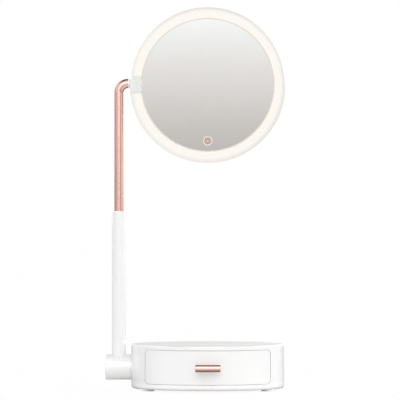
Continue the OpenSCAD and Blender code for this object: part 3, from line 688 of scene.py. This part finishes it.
def rear_cover():
    r = HEAD_R - 0.2
    outline = rounded([(0, BACK_Z), (r, BACK_Z, 8), (r, 0.7, 0.25), (HEAD_R - 2, 0.7, 0.2), (HEAD_R - 2, BACK_Z + 2, 6.2), (0, BACK_Z + 2)], 0.8)
    obj = Shape().lathe(outline, IN_HEAD, 300).make("back_shell")
    spots = [(64 * math.cos(math.radians(a)), 64 * math.sin(math.radians(a))) for a in (45, 135, 225, 315)]
    bosses = Shape()
    for x, y in spots:
        bosses.lathe([(0, BACK_Z + 1.5), (4.6, BACK_Z + 1.5), (4.6, BACK_Z + 5.3), (0, BACK_Z + 5.3)], IN_HEAD @ at(x, y, 0), 64)
    join(obj, bosses.make("cutter"))
    holes, seats = Shape(), Shape()
    for x, y in spots:
        seats.lathe([(0, BACK_Z - 1), (3.1, BACK_Z - 1), (3.1, BACK_Z + 3.1), (0, BACK_Z + 3.1)], IN_HEAD @ at(x, y, 0), 72)
        holes.lathe([(0, BACK_Z + 1), (1.6, BACK_Z + 1), (1.6, BACK_Z + 8), (0, BACK_Z + 8)], IN_HEAD @ at(x, y, 0), 48)

    def slot(w, h, z0, z1):
        ring = []
        for k in range(48):
            a = 2 * math.pi * k / 48
            ring.append((math.copysign((w - h) / 2, math.cos(a)) + h / 2 * math.cos(a), h / 2 * math.sin(a) - 60))
        return Shape().loft([[(x, y, z0) for x, y in ring], [(x, y, z1) for x, y in ring]], place=IN_HEAD).make("cutter")

    notch = Shape().slab(-95, -9.85, -5.3, -74, 9.85, 6, 0.05, IN_HEAD).make("cutter")
    cut(obj, seats.make("cutter"), holes.make("cutter"), slot(9.8, 4, BACK_Z - 1, BACK_Z + 3), slot(14, 7.6, BACK_Z - 1, BACK_Z + 0.5), notch)

    def on_back(p):
        y, x, z = p.y, p.x, p.z - HEAD_Z
        near = any(abs(math.hypot(x - a, z - b) - 3.1) < 0.12 for a, b in spots)
        seat = abs(x) < 7.2 and abs(z + 60) < 4.0
        return abs(y - 9.5) < 0.02 and (near or seat)

    soften(obj, on_back, 0.22, 3)
    return finish_piece(obj, "white_gloss", "head", "rear_cover")


light_diffuser()
mirror_glass()
touch_mark()
pivot_block()
rear_cover()


# ------------------------------------------------------------------ upper arm

def upper_tube():
    """Bent tube with the key groove down its back."""
    circle, groove = [], []
    n = 88
    edge = math.asin(1.2 / UPPER_R)
    for k in range(n + 1):                                   # from just right of the groove round the front to just left
        a = math.pi / 2 - edge - (2 * math.pi - 2 * edge) * k / n
        p = (UPPER_R * math.cos(a), UPPER_R * math.sin(a))
        circle.append(p)
        groove.append(p)
    for u, v in ((-1.03, UPPER_R - 0.16), (-0.98, UPPER_R - 0.5), (0, UPPER_R - 0.5), (0.98, UPPER_R - 0.5), (1.03, UPPER_R - 0.16)):
        groove.append((u, v))
        circle.append((u, math.sqrt(UPPER_R ** 2 - u * u)))
    foot, top, bend_z = 150.0, 323.8, TILT_Z - BEND_R
    rows = [(circle, foot), (circle, 178.8), (groove, 178.9)]
    rows += [(groove, 179 + (top - 179.2) * k / 24) for k in range(1, 25)]
    rows += [(circle, top), (circle, 328.0), (circle, bend_z)]
    outer = [[(ARM_X + u, v, z) for u, v in shape] for shape, z in rows]
    for k in range(1, 41):
        b = math.radians(90 * k / 40)
        cx, cz = ARM_X + BEND_R - BEND_R * math.cos(b), bend_z + BEND_R * math.sin(b)
        outer.append([(cx + u * math.cos(b), v, cz - u * math.sin(b)) for u, v in circle])
    shrink = (UPPER_R - 1) / UPPER_R
    inner = []
    for z in (foot, bend_z):
        inner.append([(ARM_X + u * shrink, v * shrink, z) for u, v in circle])
    for k in range(1, 25):
        b = math.radians(90 * k / 24)
        cx, cz = ARM_X + BEND_R - BEND_R * math.cos(b), bend_z + BEND_R * math.sin(b)
        inner.append([(cx + u * shrink * math.cos(b), v * shrink, cz - u * shrink * math.sin(b)) for u, v in circle])
    obj = Shape().loft(outer + inner[::-1] + [outer[0]], closed_ends=False).make("arm_tube_upper")
    return finish_piece(obj, "rose_metal", "upper_arm", "upper_tube", sharp=40)


def pivot_collar():
    length = -HEAD_R - (ARM_X + BEND_R) - 0.05
    outline = rounded([(3.0, 0), (UPPER_R, 0, 0.3), (UPPER_R, length, 0.3), (3.0, length)], 0.08)
    obj = Shape().lathe(outline, along_x(ARM_X + BEND_R, TILT_Z), 120).make("pivot_spacer")
    return finish_piece(obj, "collar_cream", "upper_arm", "pivot_collar")


upper_tube()
pivot_collar()


# ------------------------------------------------------------------ lower arm

def lower_tube():
    z0, z1 = TUBE_FOOT, LOWER_TOP - 1.6
    rows = [z0 + (z1 - z0) * k / 16 for k in range(17)]
    outline = [(LOWER_R, z) for z in rows] + [(LOWER_IN, z) for z in rows[::-1]]
    obj = Shape().lathe(outline, at(ARM_X, 0, 0), 144).make("arm_tube_lower")
    cut(obj, rod(2.05, 0, 12, at(ARM_X, 0, 46) @ turn(-90, "X"), 48))
    return finish_piece(obj, "white_tube", "lower_arm", "lower_tube", sharp=30)


def guide_bush():
    top = rounded([(5.25, 179.0, 0.2), (LOWER_IN - 0.02, 179.0, 0.2), (LOWER_IN - 0.02, LOWER_TOP - 1.6), (LOWER_R, LOWER_TOP - 1.6),
                   (LOWER_R, LOWER_TOP, 0.5), (5.25, LOWER_TOP, 0.25)], 0.1)
    obj = Shape().lathe(top, at(ARM_X, 0, 0), 144).make("guide_cap")
    join(obj, Shape().slab(ARM_X - 0.85, UPPER_R - 0.4, 179, ARM_X + 0.85, UPPER_R + 0.5, 199, 0.1).make("cutter"))
    return finish_piece(obj, "white_gloss", "lower_arm", "guide_bush")


def hinge_barrel():
    length = BARREL_X1 - BARREL_X0 + 0.1
    outline = rounded([(0, 0), (BARREL_R, 0, 0.9), (BARREL_R, length, 0.12), (0, length)], 0.05)
    obj = Shape().lathe(outline, along_x(BARREL_X0, HINGE_Z), 192).make("hinge_housing")
    cut(obj, rod(LOWER_R + 0.05, TUBE_FOOT, 60, at(ARM_X, 0, 0), 128))
    join(obj, Shape().lathe([(0, HINGE_Z + 6), (6.47, HINGE_Z + 6), (6.47, 55.6), (6.07, 56), (0, 56)], at(ARM_X, 0, 0), 96).make("cutter"))
    cut(obj, rod(4.05, -1, 40, along_x(BARREL_X0, HINGE_Z)), rod(9, -1, 10.8, along_x(BARREL_X0, HINGE_Z)),
        rod(12.3, -1, 1.9, along_x(BARREL_X0, HINGE_Z), 144), rod(10, length - 0.5, length + 1, along_x(BARREL_X0, HINGE_Z)),
        rod(2.0, 1.5, 14, at(ARM_X, 0, 46) @ turn(-90, "X"), 48))
    return finish_piece(obj, "white_gloss", "lower_arm", "hinge_barrel")


def barrel_cap():
    outline = rounded([(0, 0.35), (8.6, 0.35, 1.5), (9.4, 0, 1.2), (12.25, 0, 0.35), (12.25, 1.9, 0.1), (0, 1.9)], 0.12)
    obj = Shape().lathe(outline, along_x(BARREL_X0, HINGE_Z), 144).make("hinge_end_cap")
    return finish_piece(obj, "white_gloss", "lower_arm", "barrel_cap")


lower_tube()
guide_bush()
hinge_barrel()
barrel_cap()


# ------------------------------------------------------------------ base

EDGE = 0.3                                                   # rounding of the edges at the drawer front

def round_loop(hw, hh, r, n):
    """Rounded rectangle in (x, z), from the lower left along the bottom; n = points along x, along z, per corner."""
    nx, nz, nc = n
    out = []
    for k in range(nx):
        out.append((-hw + r + (2 * hw - 2 * r) * k / nx, -hh))
    for cx, cz, a0, side in ((hw - r, -hh + r, -90, 0), (hw - r, hh - r, 0, 1), (-hw + r, hh - r, 90, 2), (-hw + r, -hh + r, 180, 3)):
        for k in range(nc):
            a = math.radians(a0 + 90 * k / nc)
            out.append((cx + r * math.cos(a), cz + r * math.sin(a)))
        if side == 0:
            out += [(hw, -hh + r + (2 * hh - 2 * r) * k / nz) for k in range(nz)]
        elif side == 1:
            out += [(hw - r - (2 * hw - 2 * r) * k / nx, hh) for k in range(nx)]
        elif side == 2:
            out += [(-hw, hh - r - (2 * hh - 2 * r) * k / nz) for k in range(nz)]
    return out


def square_loop(hw, hh, cx, cz, n):
    """The same points on a rectangle with square corners."""
    nx, nz, nc = n
    half = nc // 2
    bottom = [(-hw + cx + (2 * hw - 2 * cx) * k / nx, -hh) for k in range(nx)]
    right = [(hw, -hh + cz + (2 * hh - 2 * cz) * k / nz) for k in range(nz)]
    c0 = [(hw - cx + cx * k / half, -hh) for k in range(half)] + [(hw, -hh + cz * k / half) for k in range(half)]
    c1 = [(hw, hh - cz + cz * k / half) for k in range(half)] + [(hw - cx * k / half, hh) for k in range(half)]
    half_loop = bottom + c0 + right + c1
    return half_loop + [(-x, -z) for x, z in half_loop]


def grid_lines(hw, hh, cx, cz, n):
    nx, nz, nc = n
    half = nc // 2
    xs = [-hw + cx * k / half for k in range(half)] + [-hw + cx + (2 * hw - 2 * cx) * k / nx for k in range(nx)] + [hw - cx + cx * k / half for k in range(half + 1)]
    zs = [-hh + cz * k / half for k in range(half)] + [-hh + cz + (2 * hh - 2 * cz) * k / nz for k in range(nz)] + [hh - cz + cz * k / half for k in range(half + 1)]
    return xs, zs


def on_wall(r, x, z, deeper=0.0):
    return (x, -math.sqrt(r * r - x * x) + deeper, MOUTH_Z + z)


def base_shell():
    n = (72, 12, 12)
    hw, hh = 74.5, 20.3
    cx, cz = hw - 66.3, hh - 14.5
    xs, zs = grid_lines(hw, hh, cx, cz, n)
    turns = [math.asin(x / BASE_R) for x in xs]
    rest = 2 * math.pi - 2 * turns[-1]
    turns += [turns[-1] + rest * k / 150 for k in range(1, 150)]
    columns = len(xs) - 1
    shape = Shape()

    def sheet(profile, row0, row1):
        verts = [(r * math.sin(t), -r * math.cos(t), z) for t in turns for r, z in profile]
        m, k = len(profile), len(turns)
        faces = []
        for i in range(k):
            for j in range(m - 1):
                if i < columns and row0 <= j < row1:
                    continue
                a, b = i * m, (i + 1) % k * m
                faces.append((a + j, b + j, b + j + 1, a + j + 1))
        shape.add(verts, faces)

    rows = [MOUTH_Z + z for z in zs]
    low = [(83.0 + 3.2 * math.sin(math.radians(a)), 5.4 - 3.2 * math.cos(math.radians(a))) for a in range(15, 91, 5)]
    high = [(BASE_R + TOP_ROUND * (math.cos(math.radians(a)) - 1), BASE_TOP + TOP_ROUND * (math.sin(math.radians(a)) - 1)) for a in range(0, 91, 6)]
    outside = low + [(BASE_R, z) for z in rows] + high + [(83.6, BASE_TOP), (80, BASE_TOP), (62, BASE_TOP), (31, BASE_TOP), (0, BASE_TOP)]
    sheet(outside, len(low), len(low) + len(rows) - 1)
    inside = [low[0], (BASE_IN, 5.0)] + [(BASE_IN, z) for z in rows] + [(BASE_IN, 49.2), (BASE_IN - 0.4, 49.6), (60, 49.6), (30, 49.6), (0, 49.6)]
    sheet(inside, 2, 2 + len(rows) - 1)

    mouth = (MOUTH_W / 2, MOUTH_H / 2, MOUTH_R)

    def mouth_loop(r, out, deep):
        return [on_wall(r, x, z, deep) for x, z in round_loop(mouth[0] + out, mouth[1] + out, mouth[2] + out, n)]

    outer_square = [(x, -math.sqrt(BASE_R ** 2 - x * x), MOUTH_Z + z) for x, z in square_loop(hw, hh, cx, cz, n)]
    inner_square = []
    for x, z in square_loop(hw, hh, cx, cz, n):
        t = math.asin(x / BASE_R)
        inner_square.append((BASE_IN * math.sin(t), -BASE_IN * math.cos(t), MOUTH_Z + z))
    soft = EDGE
    loops = [outer_square]
    for k in range(6):
        a = math.radians(90 * k / 5)
        loops.append(mouth_loop(BASE_R, soft * (1 - math.sin(a)), soft * (1 - math.cos(a))))
    loops.append(mouth_loop(BASE_IN, 0, 0))
    loops.append(inner_square)
    shape.loft(loops, closed_ends=False)
    obj = shape.make("base_housing", merge=0.003)

    join(obj, Shape().lathe(rounded([(0, 0), (BARREL_R, 0, 0.12), (BARREL_R, 5.9), (0, 5.9)], 0.05), along_x(BOSS_X - 0.1, HINGE_Z), 192).make("cutter"))
    join(obj, Shape().slab(-83.2, -17, HINGE_Z - 18.4, -80.6, 17, HINGE_Z + 19, 0.3).make("cutter"))
    posts, holes = Shape(), Shape()
    for x, y in ((-76, -22), (76, -22), (-52, 60), (52, 60)):
        posts.lathe([(0, 4.4), (3.2, 4.4), (3.5, 4.7), (3.5, 50.2), (0, 50.2)], at(x, y, 0), 48)
        holes.lathe([(0, 3), (1.3, 3), (1.3, 16), (0, 16)], at(x, y, 0), 32)
    join(obj, posts.make("cutter"))
    cut(obj, holes.make("cutter"), rod(4.05, -92, -70, along_x(0, HINGE_Z)),
        *(rod(1.3, -85, -79, along_x(0, HINGE_Z + sz * 13, sy * 12), 32) for sy in (-1, 1) for sz in (-1, 1)))
    return finish_piece(obj, "white_gloss", "base", "base_shell", sharp=30)


def feet():
    shape = Shape()
    outline = rounded([(0, 0.25), (4.6, 0.25, 0.6), (5.2, 0, 0.5), (7, 0, 0.6), (7, 3.0, 0.1), (0, 3.0)], 0.12)
    for sx in (-1, 1):
        for sy in (-1, 1):
            shape.lathe(outline, at(sx * 67, sy * 36, 0), 96)
    return finish_piece(shape.make("foot_pads"), "foot_rubber", "base", "feet")


base_shell()
feet()


# ------------------------------------------------------------------ drawer

def drawer_front():
    n = (72, 12, 12)
    hw, hh, r = PANEL_W / 2, PANEL_H / 2, PANEL_R
    sq = (65.0, 13.2, 3.0, 3.0)
    xs, zs = grid_lines(*sq, n)
    shape = Shape()
    for radius in (BASE_R, PANEL_IN):
        verts = [on_wall(radius, x, z) for x in xs for z in zs]
        m = len(zs)
        shape.add(verts, [(i * m + j, (i + 1) * m + j, (i + 1) * m + j + 1, i * m + j + 1) for i in range(len(xs) - 1) for j in range(m - 1)])
    soft = EDGE

    def edge(radius, out, deep):
        return [on_wall(radius, x, z, deep) for x, z in round_loop(hw + out, hh + out, r + out, n)]

    loops = [[on_wall(BASE_R, x, z) for x, z in square_loop(*sq, n)]]
    for k in range(6):
        a = math.radians(90 * k / 5)
        loops.append(edge(BASE_R, -soft * (1 - math.sin(a)), soft * (1 - math.cos(a))))
    loops.append(edge(PANEL_IN, 0, -0.25))
    loops.append(edge(PANEL_IN, -0.25, 0))
    loops.append([on_wall(PANEL_IN, x, z) for x, z in square_loop(*sq, n)])
    shape.loft(loops, closed_ends=False)
    obj = shape.make("drawer_panel", merge=0.003)
    cut(obj, *(rod(2.55, 0, 30, to_front(s * 8.5, -70, MOUTH_Z), 64) for s in (-1, 1)))
    return finish_piece(obj, "white_gloss", "drawer", "drawer_front", sharp=30)


def drawer_handle():
    outline = rounded([(0, 0), (4.0, 0, 0.45), (4.0, 28, 0.45), (0, 28)], 0.09)
    wall = [(4.0, 28 * k / 12) for k in range(1, 12)]
    i = max(k for k, p in enumerate(outline) if p[1] < 14)
    outline = outline[:i + 1] + wall + outline[i + 1:]
    obj = Shape().lathe(outline, at(-14, -99, MOUTH_Z) @ turn(90, "Y"), 128).make("handle_bar")
    return finish_piece(obj, "rose_metal", "drawer", "drawer_handle", extra=())


def handle_posts():
    shape = Shape()
    for s in (-1, 1):
        shape.lathe(rounded([(0, 0.05), (2.48, 0.05, 0.2), (2.48, 13.2), (0, 13.2)], 0.08), to_front(s * 8.5, -83.1, MOUTH_Z), 72)
    return finish_piece(shape.make("handle_studs"), "rose_metal", "drawer", "handle_posts")


def drawer_tray():
    """Moulded tray with a soft rim and rounded inner floor."""
    def outline(d, z):
        r, w, back = 83.0 - d, 65.0 - d, 44.0 - d
        rho = max(0.6, 4.0 - d)
        t = math.asin(w / r)
        pts = [(r * math.sin(t * (2 * k / 72 - 1)), -r * math.cos(t * (2 * k / 72 - 1)), z) for k in range(72)]
        y0 = -r * math.cos(t)
        pts += [(w, y0 + (back - rho - y0) * k / 16, z) for k in range(16)]
        pts += [(w - rho + rho * math.cos(a), back - rho + rho * math.sin(a), z) for a in (math.pi / 2 * k / 8 for k in range(8))]
        pts += [(w - rho - 2 * (w - rho) * k / 24, back, z) for k in range(24)]
        pts += [(-w + rho - rho * math.sin(a), back - rho + rho * math.cos(a), z) for a in (math.pi / 2 * k / 8 for k in range(8))]
        pts += [(-w, back - rho - (back - rho - y0) * k / 16, z) for k in range(16)]
        return pts

    def quarter(d0, d1, z0, z1, up_first, steps=5):
        out = []
        for k in range(steps + 1):
            a = math.pi / 2 * k / steps
            s, c = math.sin(a), 1 - math.cos(a)
            out.append((d0 + (d1 - d0) * (c if up_first else s), z0 + (z1 - z0) * (s if up_first else c)))
        return out

    layers = quarter(1.0, 0.0, 10.2, 11.2, False) + [(0, 18), (0, 26), (0, 34)]
    layers += quarter(0.0, 0.6, 41.4, 42.0, True) + quarter(1.2, 1.8, 42.0, 41.4, False)
    layers += [(1.8, 34), (1.8, 26), (1.8, 18)] + quarter(1.8, 4.3, 14.5, 12.0, True, 7)
    obj = Shape().loft([outline(d, z) for d, z in layers]).make("drawer_box")
    extras = Shape()
    for s in (-1, 1):
        a, b = sorted((s * 64.6, s * 67.2))
        extras.slab(a, -40, 24.1, b, 44, 27.1, 0.35)
    nubs = Shape()
    for s in (-1, 1):
        a, b = sorted((s * 64.6, s * 67.2))
        nubs.slab(a, 39.2, 24.1, b, 44, 29.1, 0.35)
    seats = Shape()
    for s in (-1, 1):
        seats.lathe(rounded([(0, 0), (4, 0, 0.3), (4, 2.3), (0, 2.3)], 0.1), to_front(s * 8.5, -79.5, MOUTH_Z), 64)
    join(obj, extras.make("cutter"), nubs.make("cutter"), seats.make("cutter"))
    cut(obj, *(rod(1.6, 0, 20, to_front(s * 8.5, -70, MOUTH_Z), 48) for s in (-1, 1)))
    return finish_piece(obj, "white_matt", "drawer", "drawer_tray", sharp=30)


drawer_front()
drawer_handle()
handle_posts()
drawer_tray()
bpy.data.objects["handle_bar"].data.materials[0] = looks["rose_bar"]
bpy.data.objects["base_housing"].data.materials[0] = looks["white_base"]


# ------------------------------------------------------------------ studio

def plain_node_material(name):
    mat = bpy.data.materials.new(name)
    mat.use_nodes = True
    mat.node_tree.nodes.clear()
    return mat, mat.node_tree


def floor():
    """Pale table top, a wide disc."""
    shape = Shape()
    radii = [0, 150, 300, 600, 1200, 2500, 5000, 12000, 30000, 60000]
    steps = 96
    verts = [(r * math.cos(2 * math.pi * k / steps), r * math.sin(2 * math.pi * k / steps), 0) for r in radii[1:] for k in range(steps)]
    faces = [((j - 1) * steps + k, (j - 1) * steps + (k + 1) % steps, j * steps + (k + 1) % steps, j * steps + k)
             for j in range(1, len(radii) - 1) for k in range(steps)]
    faces.append(tuple(range(steps)))
    obj = shape.add(verts, faces).make("floor", merge=0.0)
    if obj.data.polygons[0].normal.z < 0:
        obj.data.flip_normals()
    mat, nt = plain_node_material("floor_pale")
    out, lit, seen, glow, part, both, path, noise, tone = (nt.nodes.new(k) for k in (
        "ShaderNodeOutputMaterial", "ShaderNodeBsdfDiffuse", "ShaderNodeBsdfDiffuse", "ShaderNodeEmission", "ShaderNodeMixShader",
        "ShaderNodeMixShader", "ShaderNodeLightPath", "ShaderNodeTexNoise", "ShaderNodeMix"))
    tone.data_type = "RGBA"
    noise.inputs["Scale"].default_value = 8.0
    nt.links.new(noise.outputs[0], tone.inputs["Factor"])
    tone.inputs[6].default_value = (FLOOR, FLOOR, FLOOR, 1)
    tone.inputs[7].default_value = (FLOOR * 0.98, FLOOR * 0.98, FLOOR * 0.98, 1)
    # painted light and shade on the floor: lighter close to the part; in reflections a pale strip lies in front of it,
    # the rest of the floor reads darker, and darkest right under the part
    coord, parts, reach = nt.nodes.new("ShaderNodeTexCoord"), nt.nodes.new("ShaderNodeSeparateXYZ"), nt.nodes.new("ShaderNodeVectorMath")
    reach.operation = "LENGTH"
    nt.links.new(coord.outputs["Object"], parts.inputs[0])
    nt.links.new(coord.outputs["Object"], reach.inputs[0])

    def ramp(value, a, b, lo, hi):
        n = nt.nodes.new("ShaderNodeMapRange")
        n.interpolation_type = "SMOOTHSTEP"
        nt.links.new(value, n.inputs["Value"])
        for key, v in (("From Min", a), ("From Max", b), ("To Min", lo), ("To Max", hi)):
            n.inputs[key].default_value = v
        return n.outputs[0]

    def sums(op, a, b):
        n = nt.nodes.new("ShaderNodeMath")
        n.operation = op
        for value, socket in ((a, n.inputs[0]), (b, n.inputs[1])):
            if isinstance(value, bpy.types.NodeSocket):
                nt.links.new(value, socket)
            else:
                socket.default_value = value
        return n.outputs[0]

    far = reach.outputs["Value"]
    painted_light_near = ramp(far, 0.16, 0.5, FLOOR_NEAR / FLOOR, 1.0)
    strip = sums("MULTIPLY", ramp(far, 0.108, 0.15, 0.0, 1.0), ramp(far, 0.8, 1.7, 1.0, 0.0))
    strip = sums("MULTIPLY", strip, ramp(parts.outputs[1], -0.10, 0.0, 1.0, 0.0))
    in_gloss = sums("ADD", FLOOR_GLOSS, sums("MULTIPLY", strip, FLOOR_STRIP - FLOOR_GLOSS))
    in_gloss = sums("MULTIPLY", in_gloss, ramp(far, 0.10, 0.13, 0.72, 1.0))
    level = nt.nodes.new("ShaderNodeMix")
    level.data_type = "FLOAT"
    nt.links.new(path.outputs["Is Glossy Ray"], level.inputs["Factor"])
    nt.links.new(painted_light_near, level.inputs[2])
    nt.links.new(sums("DIVIDE", in_gloss, FLOOR), level.inputs[3])
    scaled = nt.nodes.new("ShaderNodeVectorMath")
    scaled.operation = "SCALE"
    nt.links.new(tone.outputs[2], scaled.inputs[0])
    nt.links.new(level.outputs[0], scaled.inputs["Scale"])
    nt.links.new(scaled.outputs[0], lit.inputs["Color"])
    seen.inputs["Color"].default_value = (1, 1, 1, 1)
    glow.inputs["Color"].default_value = (1, 1, 1, 1)
    part.inputs[0].default_value = SHADE_SEEN
    nt.links.new(glow.outputs[0], part.inputs[1])
    nt.links.new(seen.outputs[0], part.inputs[2])
    nt.links.new(path.outputs["Is Camera Ray"], both.inputs[0])
    nt.links.new(lit.outputs[0], both.inputs[1])
    nt.links.new(part.outputs[0], both.inputs[2])
    nt.links.new(both.outputs[0], out.inputs[0])
    obj.data.materials.append(mat)


def mirror_card():
    """A graded card far behind the camera, seen only in reflections."""
    y, x0, x1 = -5.5, -0.9, 0.9
    zs = [-0.02, 0.318, 0.35, 0.40, 0.45, 0.50, 0.55, 0.60, 0.634, 0.75]
    me = bpy.data.meshes.new("card")
    verts = [(x, y, z) for z in zs for x in (x0, x1)]
    me.from_pydata(verts, [], [(2 * k, 2 * k + 1, 2 * k + 3, 2 * k + 2) for k in range(len(zs) - 1)])
    obj = bpy.data.objects.new("card", me)
    scene.collection.objects.link(obj)
    mat, nt = plain_node_material("card_grade")
    out, emit = nt.nodes.new("ShaderNodeOutputMaterial"), nt.nodes.new("ShaderNodeEmission")
    coord, sep, rng, ramp = (nt.nodes.new(k) for k in ("ShaderNodeTexCoord", "ShaderNodeSeparateXYZ", "ShaderNodeMapRange", "ShaderNodeValToRGB"))
    nt.links.new(coord.outputs["Object"], sep.inputs[0])
    nt.links.new(sep.outputs[2], rng.inputs["Value"])
    rng.inputs["From Min"].default_value, rng.inputs["From Max"].default_value = 0.0, 0.75
    nt.links.new(rng.outputs[0], ramp.inputs[0])
    # brightness of the grade by height
    stops = [(0.0, (0.44, 0.43, 0.41)), (0.320 / 0.75, (0.51, 0.495, 0.475)), (0.39 / 0.75, (0.59, 0.57, 0.55)), (0.475 / 0.75, (0.715, 0.69, 0.67)),
             (0.556 / 0.75, (0.812, 0.81, 0.795)), (0.634 / 0.75, (0.925, 0.93, 0.925)), (1.0, (0.97, 0.97, 0.965))]
    els = ramp.color_ramp.elements
    while len(els) < len(stops):
        els.new(0.5)
    for e, (p, c) in zip(els, stops):
        e.position = p
        e.color = (*(v / 0.905 for v in c), 1)
    nt.links.new(ramp.outputs[0], emit.inputs["Color"])
    nt.links.new(emit.outputs[0], out.inputs[0])
    me.materials.append(mat)
    obj.visible_camera = obj.visible_diffuse = obj.visible_shadow = obj.visible_transmission = False


def top_card():
    """A pale panel overhead, a little to the front, seen only in reflections."""
    shape = Shape()
    steps, rings = 48, (0.25, 0.5, 0.75, 1.0)
    verts = [(1500 * r * math.cos(2 * math.pi * k / steps), 980 * r * math.sin(2 * math.pi * k / steps) - 1220, 2600) for r in rings for k in range(steps)]
    faces = [tuple(range(steps))] + [((j - 1) * steps + k, (j - 1) * steps + (k + 1) % steps, j * steps + (k + 1) % steps, j * steps + k)
                                     for j in range(1, len(rings)) for k in range(steps)]
    obj = shape.add(verts, faces).make("top_card", merge=0.0)
    mat, nt = plain_node_material("top_card_glow")
    out, emit = nt.nodes.new("ShaderNodeOutputMaterial"), nt.nodes.new("ShaderNodeEmission")
    emit.inputs["Strength"].default_value = 0.75
    nt.links.new(emit.outputs[0], out.inputs[0])
    obj.data.materials.append(mat)
    obj.visible_camera = obj.visible_diffuse = obj.visible_shadow = obj.visible_transmission = False


def studio():
    """Soft light from all round, a little uneven, as from boxes and flags; white where the camera looks past the part."""
    world = bpy.data.worlds.new("studio")
    scene.world = world
    world.use_nodes = True
    nt = world.node_tree
    nt.nodes.clear()
    out = nt.nodes.new("ShaderNodeOutputWorld")
    coord = nt.nodes.new("ShaderNodeTexCoord")
    total = None
    for az, el, wide, tight, amount in LIGHTS:
        a, e = math.radians(az), math.radians(el)
        dot = nt.nodes.new("ShaderNodeVectorMath")
        dot.operation = "DOT_PRODUCT"
        nt.links.new(coord.outputs["Generated"], dot.inputs[0])
        dot.inputs[1].default_value = (math.sin(a) * math.cos(e), -math.cos(a) * math.cos(e), math.sin(e))
        rng = nt.nodes.new("ShaderNodeMapRange")
        rng.interpolation_type = "SMOOTHSTEP"
        nt.links.new(dot.outputs["Value"], rng.inputs["Value"])
        for key, v in (("From Min", math.cos(math.radians(wide))), ("From Max", math.cos(math.radians(tight))), ("To Min", 0.0), ("To Max", amount)):
            rng.inputs[key].default_value = v
        add = nt.nodes.new("ShaderNodeMath")
        add.operation = "ADD"
        if total is None:
            add.inputs[0].default_value = LIGHT_ALL
        else:
            nt.links.new(total, add.inputs[0])
        nt.links.new(rng.outputs[0], add.inputs[1])
        total = add.outputs[0]
    level = nt.nodes.new("ShaderNodeMath")
    level.operation = "MAXIMUM"
    nt.links.new(total, level.inputs[0])
    level.inputs[1].default_value = 0.05
    lit, seen, mix, path = (nt.nodes.new(k) for k in ("ShaderNodeBackground", "ShaderNodeBackground", "ShaderNodeMixShader", "ShaderNodeLightPath"))
    lit.inputs["Color"].default_value = (1.0, 1.0, 1.0, 1)
    nt.links.new(level.outputs[0], lit.inputs["Strength"])
    seen.inputs["Color"].default_value = (1, 1, 1, 1)
    seen.inputs["Strength"].default_value = 1.0
    nt.links.new(path.outputs["Is Camera Ray"], mix.inputs[0])
    nt.links.new(lit.outputs[0], mix.inputs[1])
    nt.links.new(seen.outputs[0], mix.inputs[2])
    nt.links.new(mix.outputs[0], out.inputs[0])


# direction (azimuth from the front, + to the right; elevation), angle where it fades out, angle of full strength, amount
LIGHT_ALL = 0.94
LIGHTS = [
    (-8, 28, 50, 12, 0.93),
    (-8, 6, 34, 8, 0.23),
    (15, 4, 20, 5, 0.44),
    (38, 4, 26, 8, -0.40),
    (70, 5, 26, 8, -0.08),
    (100, 12, 60, 22, 0.45),
    (130, 8, 40, 12, 1.10),
    (-40, 6, 30, 8, -0.39),
    (-80, 6, 34, 10, 0.14),
    (-120, 10, 50, 16, 0.70),
    (180, 10, 26, 8, -0.36),
    (180, 30, 60, 20, -0.33),
    (60, 45, 45, 15, -0.11),
    (-60, 45, 45, 15, 0.05),
    (0, 55, 40, 12, 0.30),
    (0, 90, 50, 15, -0.82),
    (-150, 10, 40, 12, 0.23),
    (150, 10, 40, 12, 0.90),
    (-100, 4, 30, 8, -0.85),
    (-45, 38, 34, 10, -0.43),
    (45, 38, 34, 10, 0.06),
    (-160, 3, 18, 6, 0.83),
    (160, 3, 18, 6, 0.51),
    (-20, 10, 16, 4, -0.10),
]
# FLOOR_NEAR and FLOOR_STRIP are painted light on the floor near the part and in the strip seen in reflections;
# FLOOR_GLOSS is the floor's darker painted tone in reflections
FLOOR, FLOOR_GLOSS, SHADE_SEEN = 0.67, 0.46, 0.07
FLOOR_NEAR, FLOOR_STRIP = 0.86, 0.90
floor()
mirror_card()
top_card()
studio()


def camera():
    data = bpy.data.cameras.new("camera")
    cam = bpy.data.objects.new("camera", data)
    scene.collection.objects.link(cam)
    data.sensor_width = 36.0
    data.lens = 36.0 * CAM_AWAY / (400 * MM_PER_PX)
    data.clip_start, data.clip_end = 0.1, 200
    cam.location = (AIM_X * MM, -CAM_AWAY * MM, CAM_Z * MM)
    target = Vector((AIM_X * MM, 0, AIM_Z * MM))
    cam.rotation_mode = "QUATERNION"
    cam.rotation_quaternion = (target - cam.location).to_track_quat("-Z", "Y")
    scene.camera = cam


MM_PER_PX = 1.13
CAM_AWAY, CAM_Z = 5000.0, 225.0
AIM_X = (200 - 207.7) * MM_PER_PX
AIM_Z = (389.7 - 200) * MM_PER_PX
camera()

scene.view_settings.view_transform = "Standard"
scene.view_settings.look = "None"
scene.view_settings.exposure = 0.0
scene.view_settings.gamma = 1.0
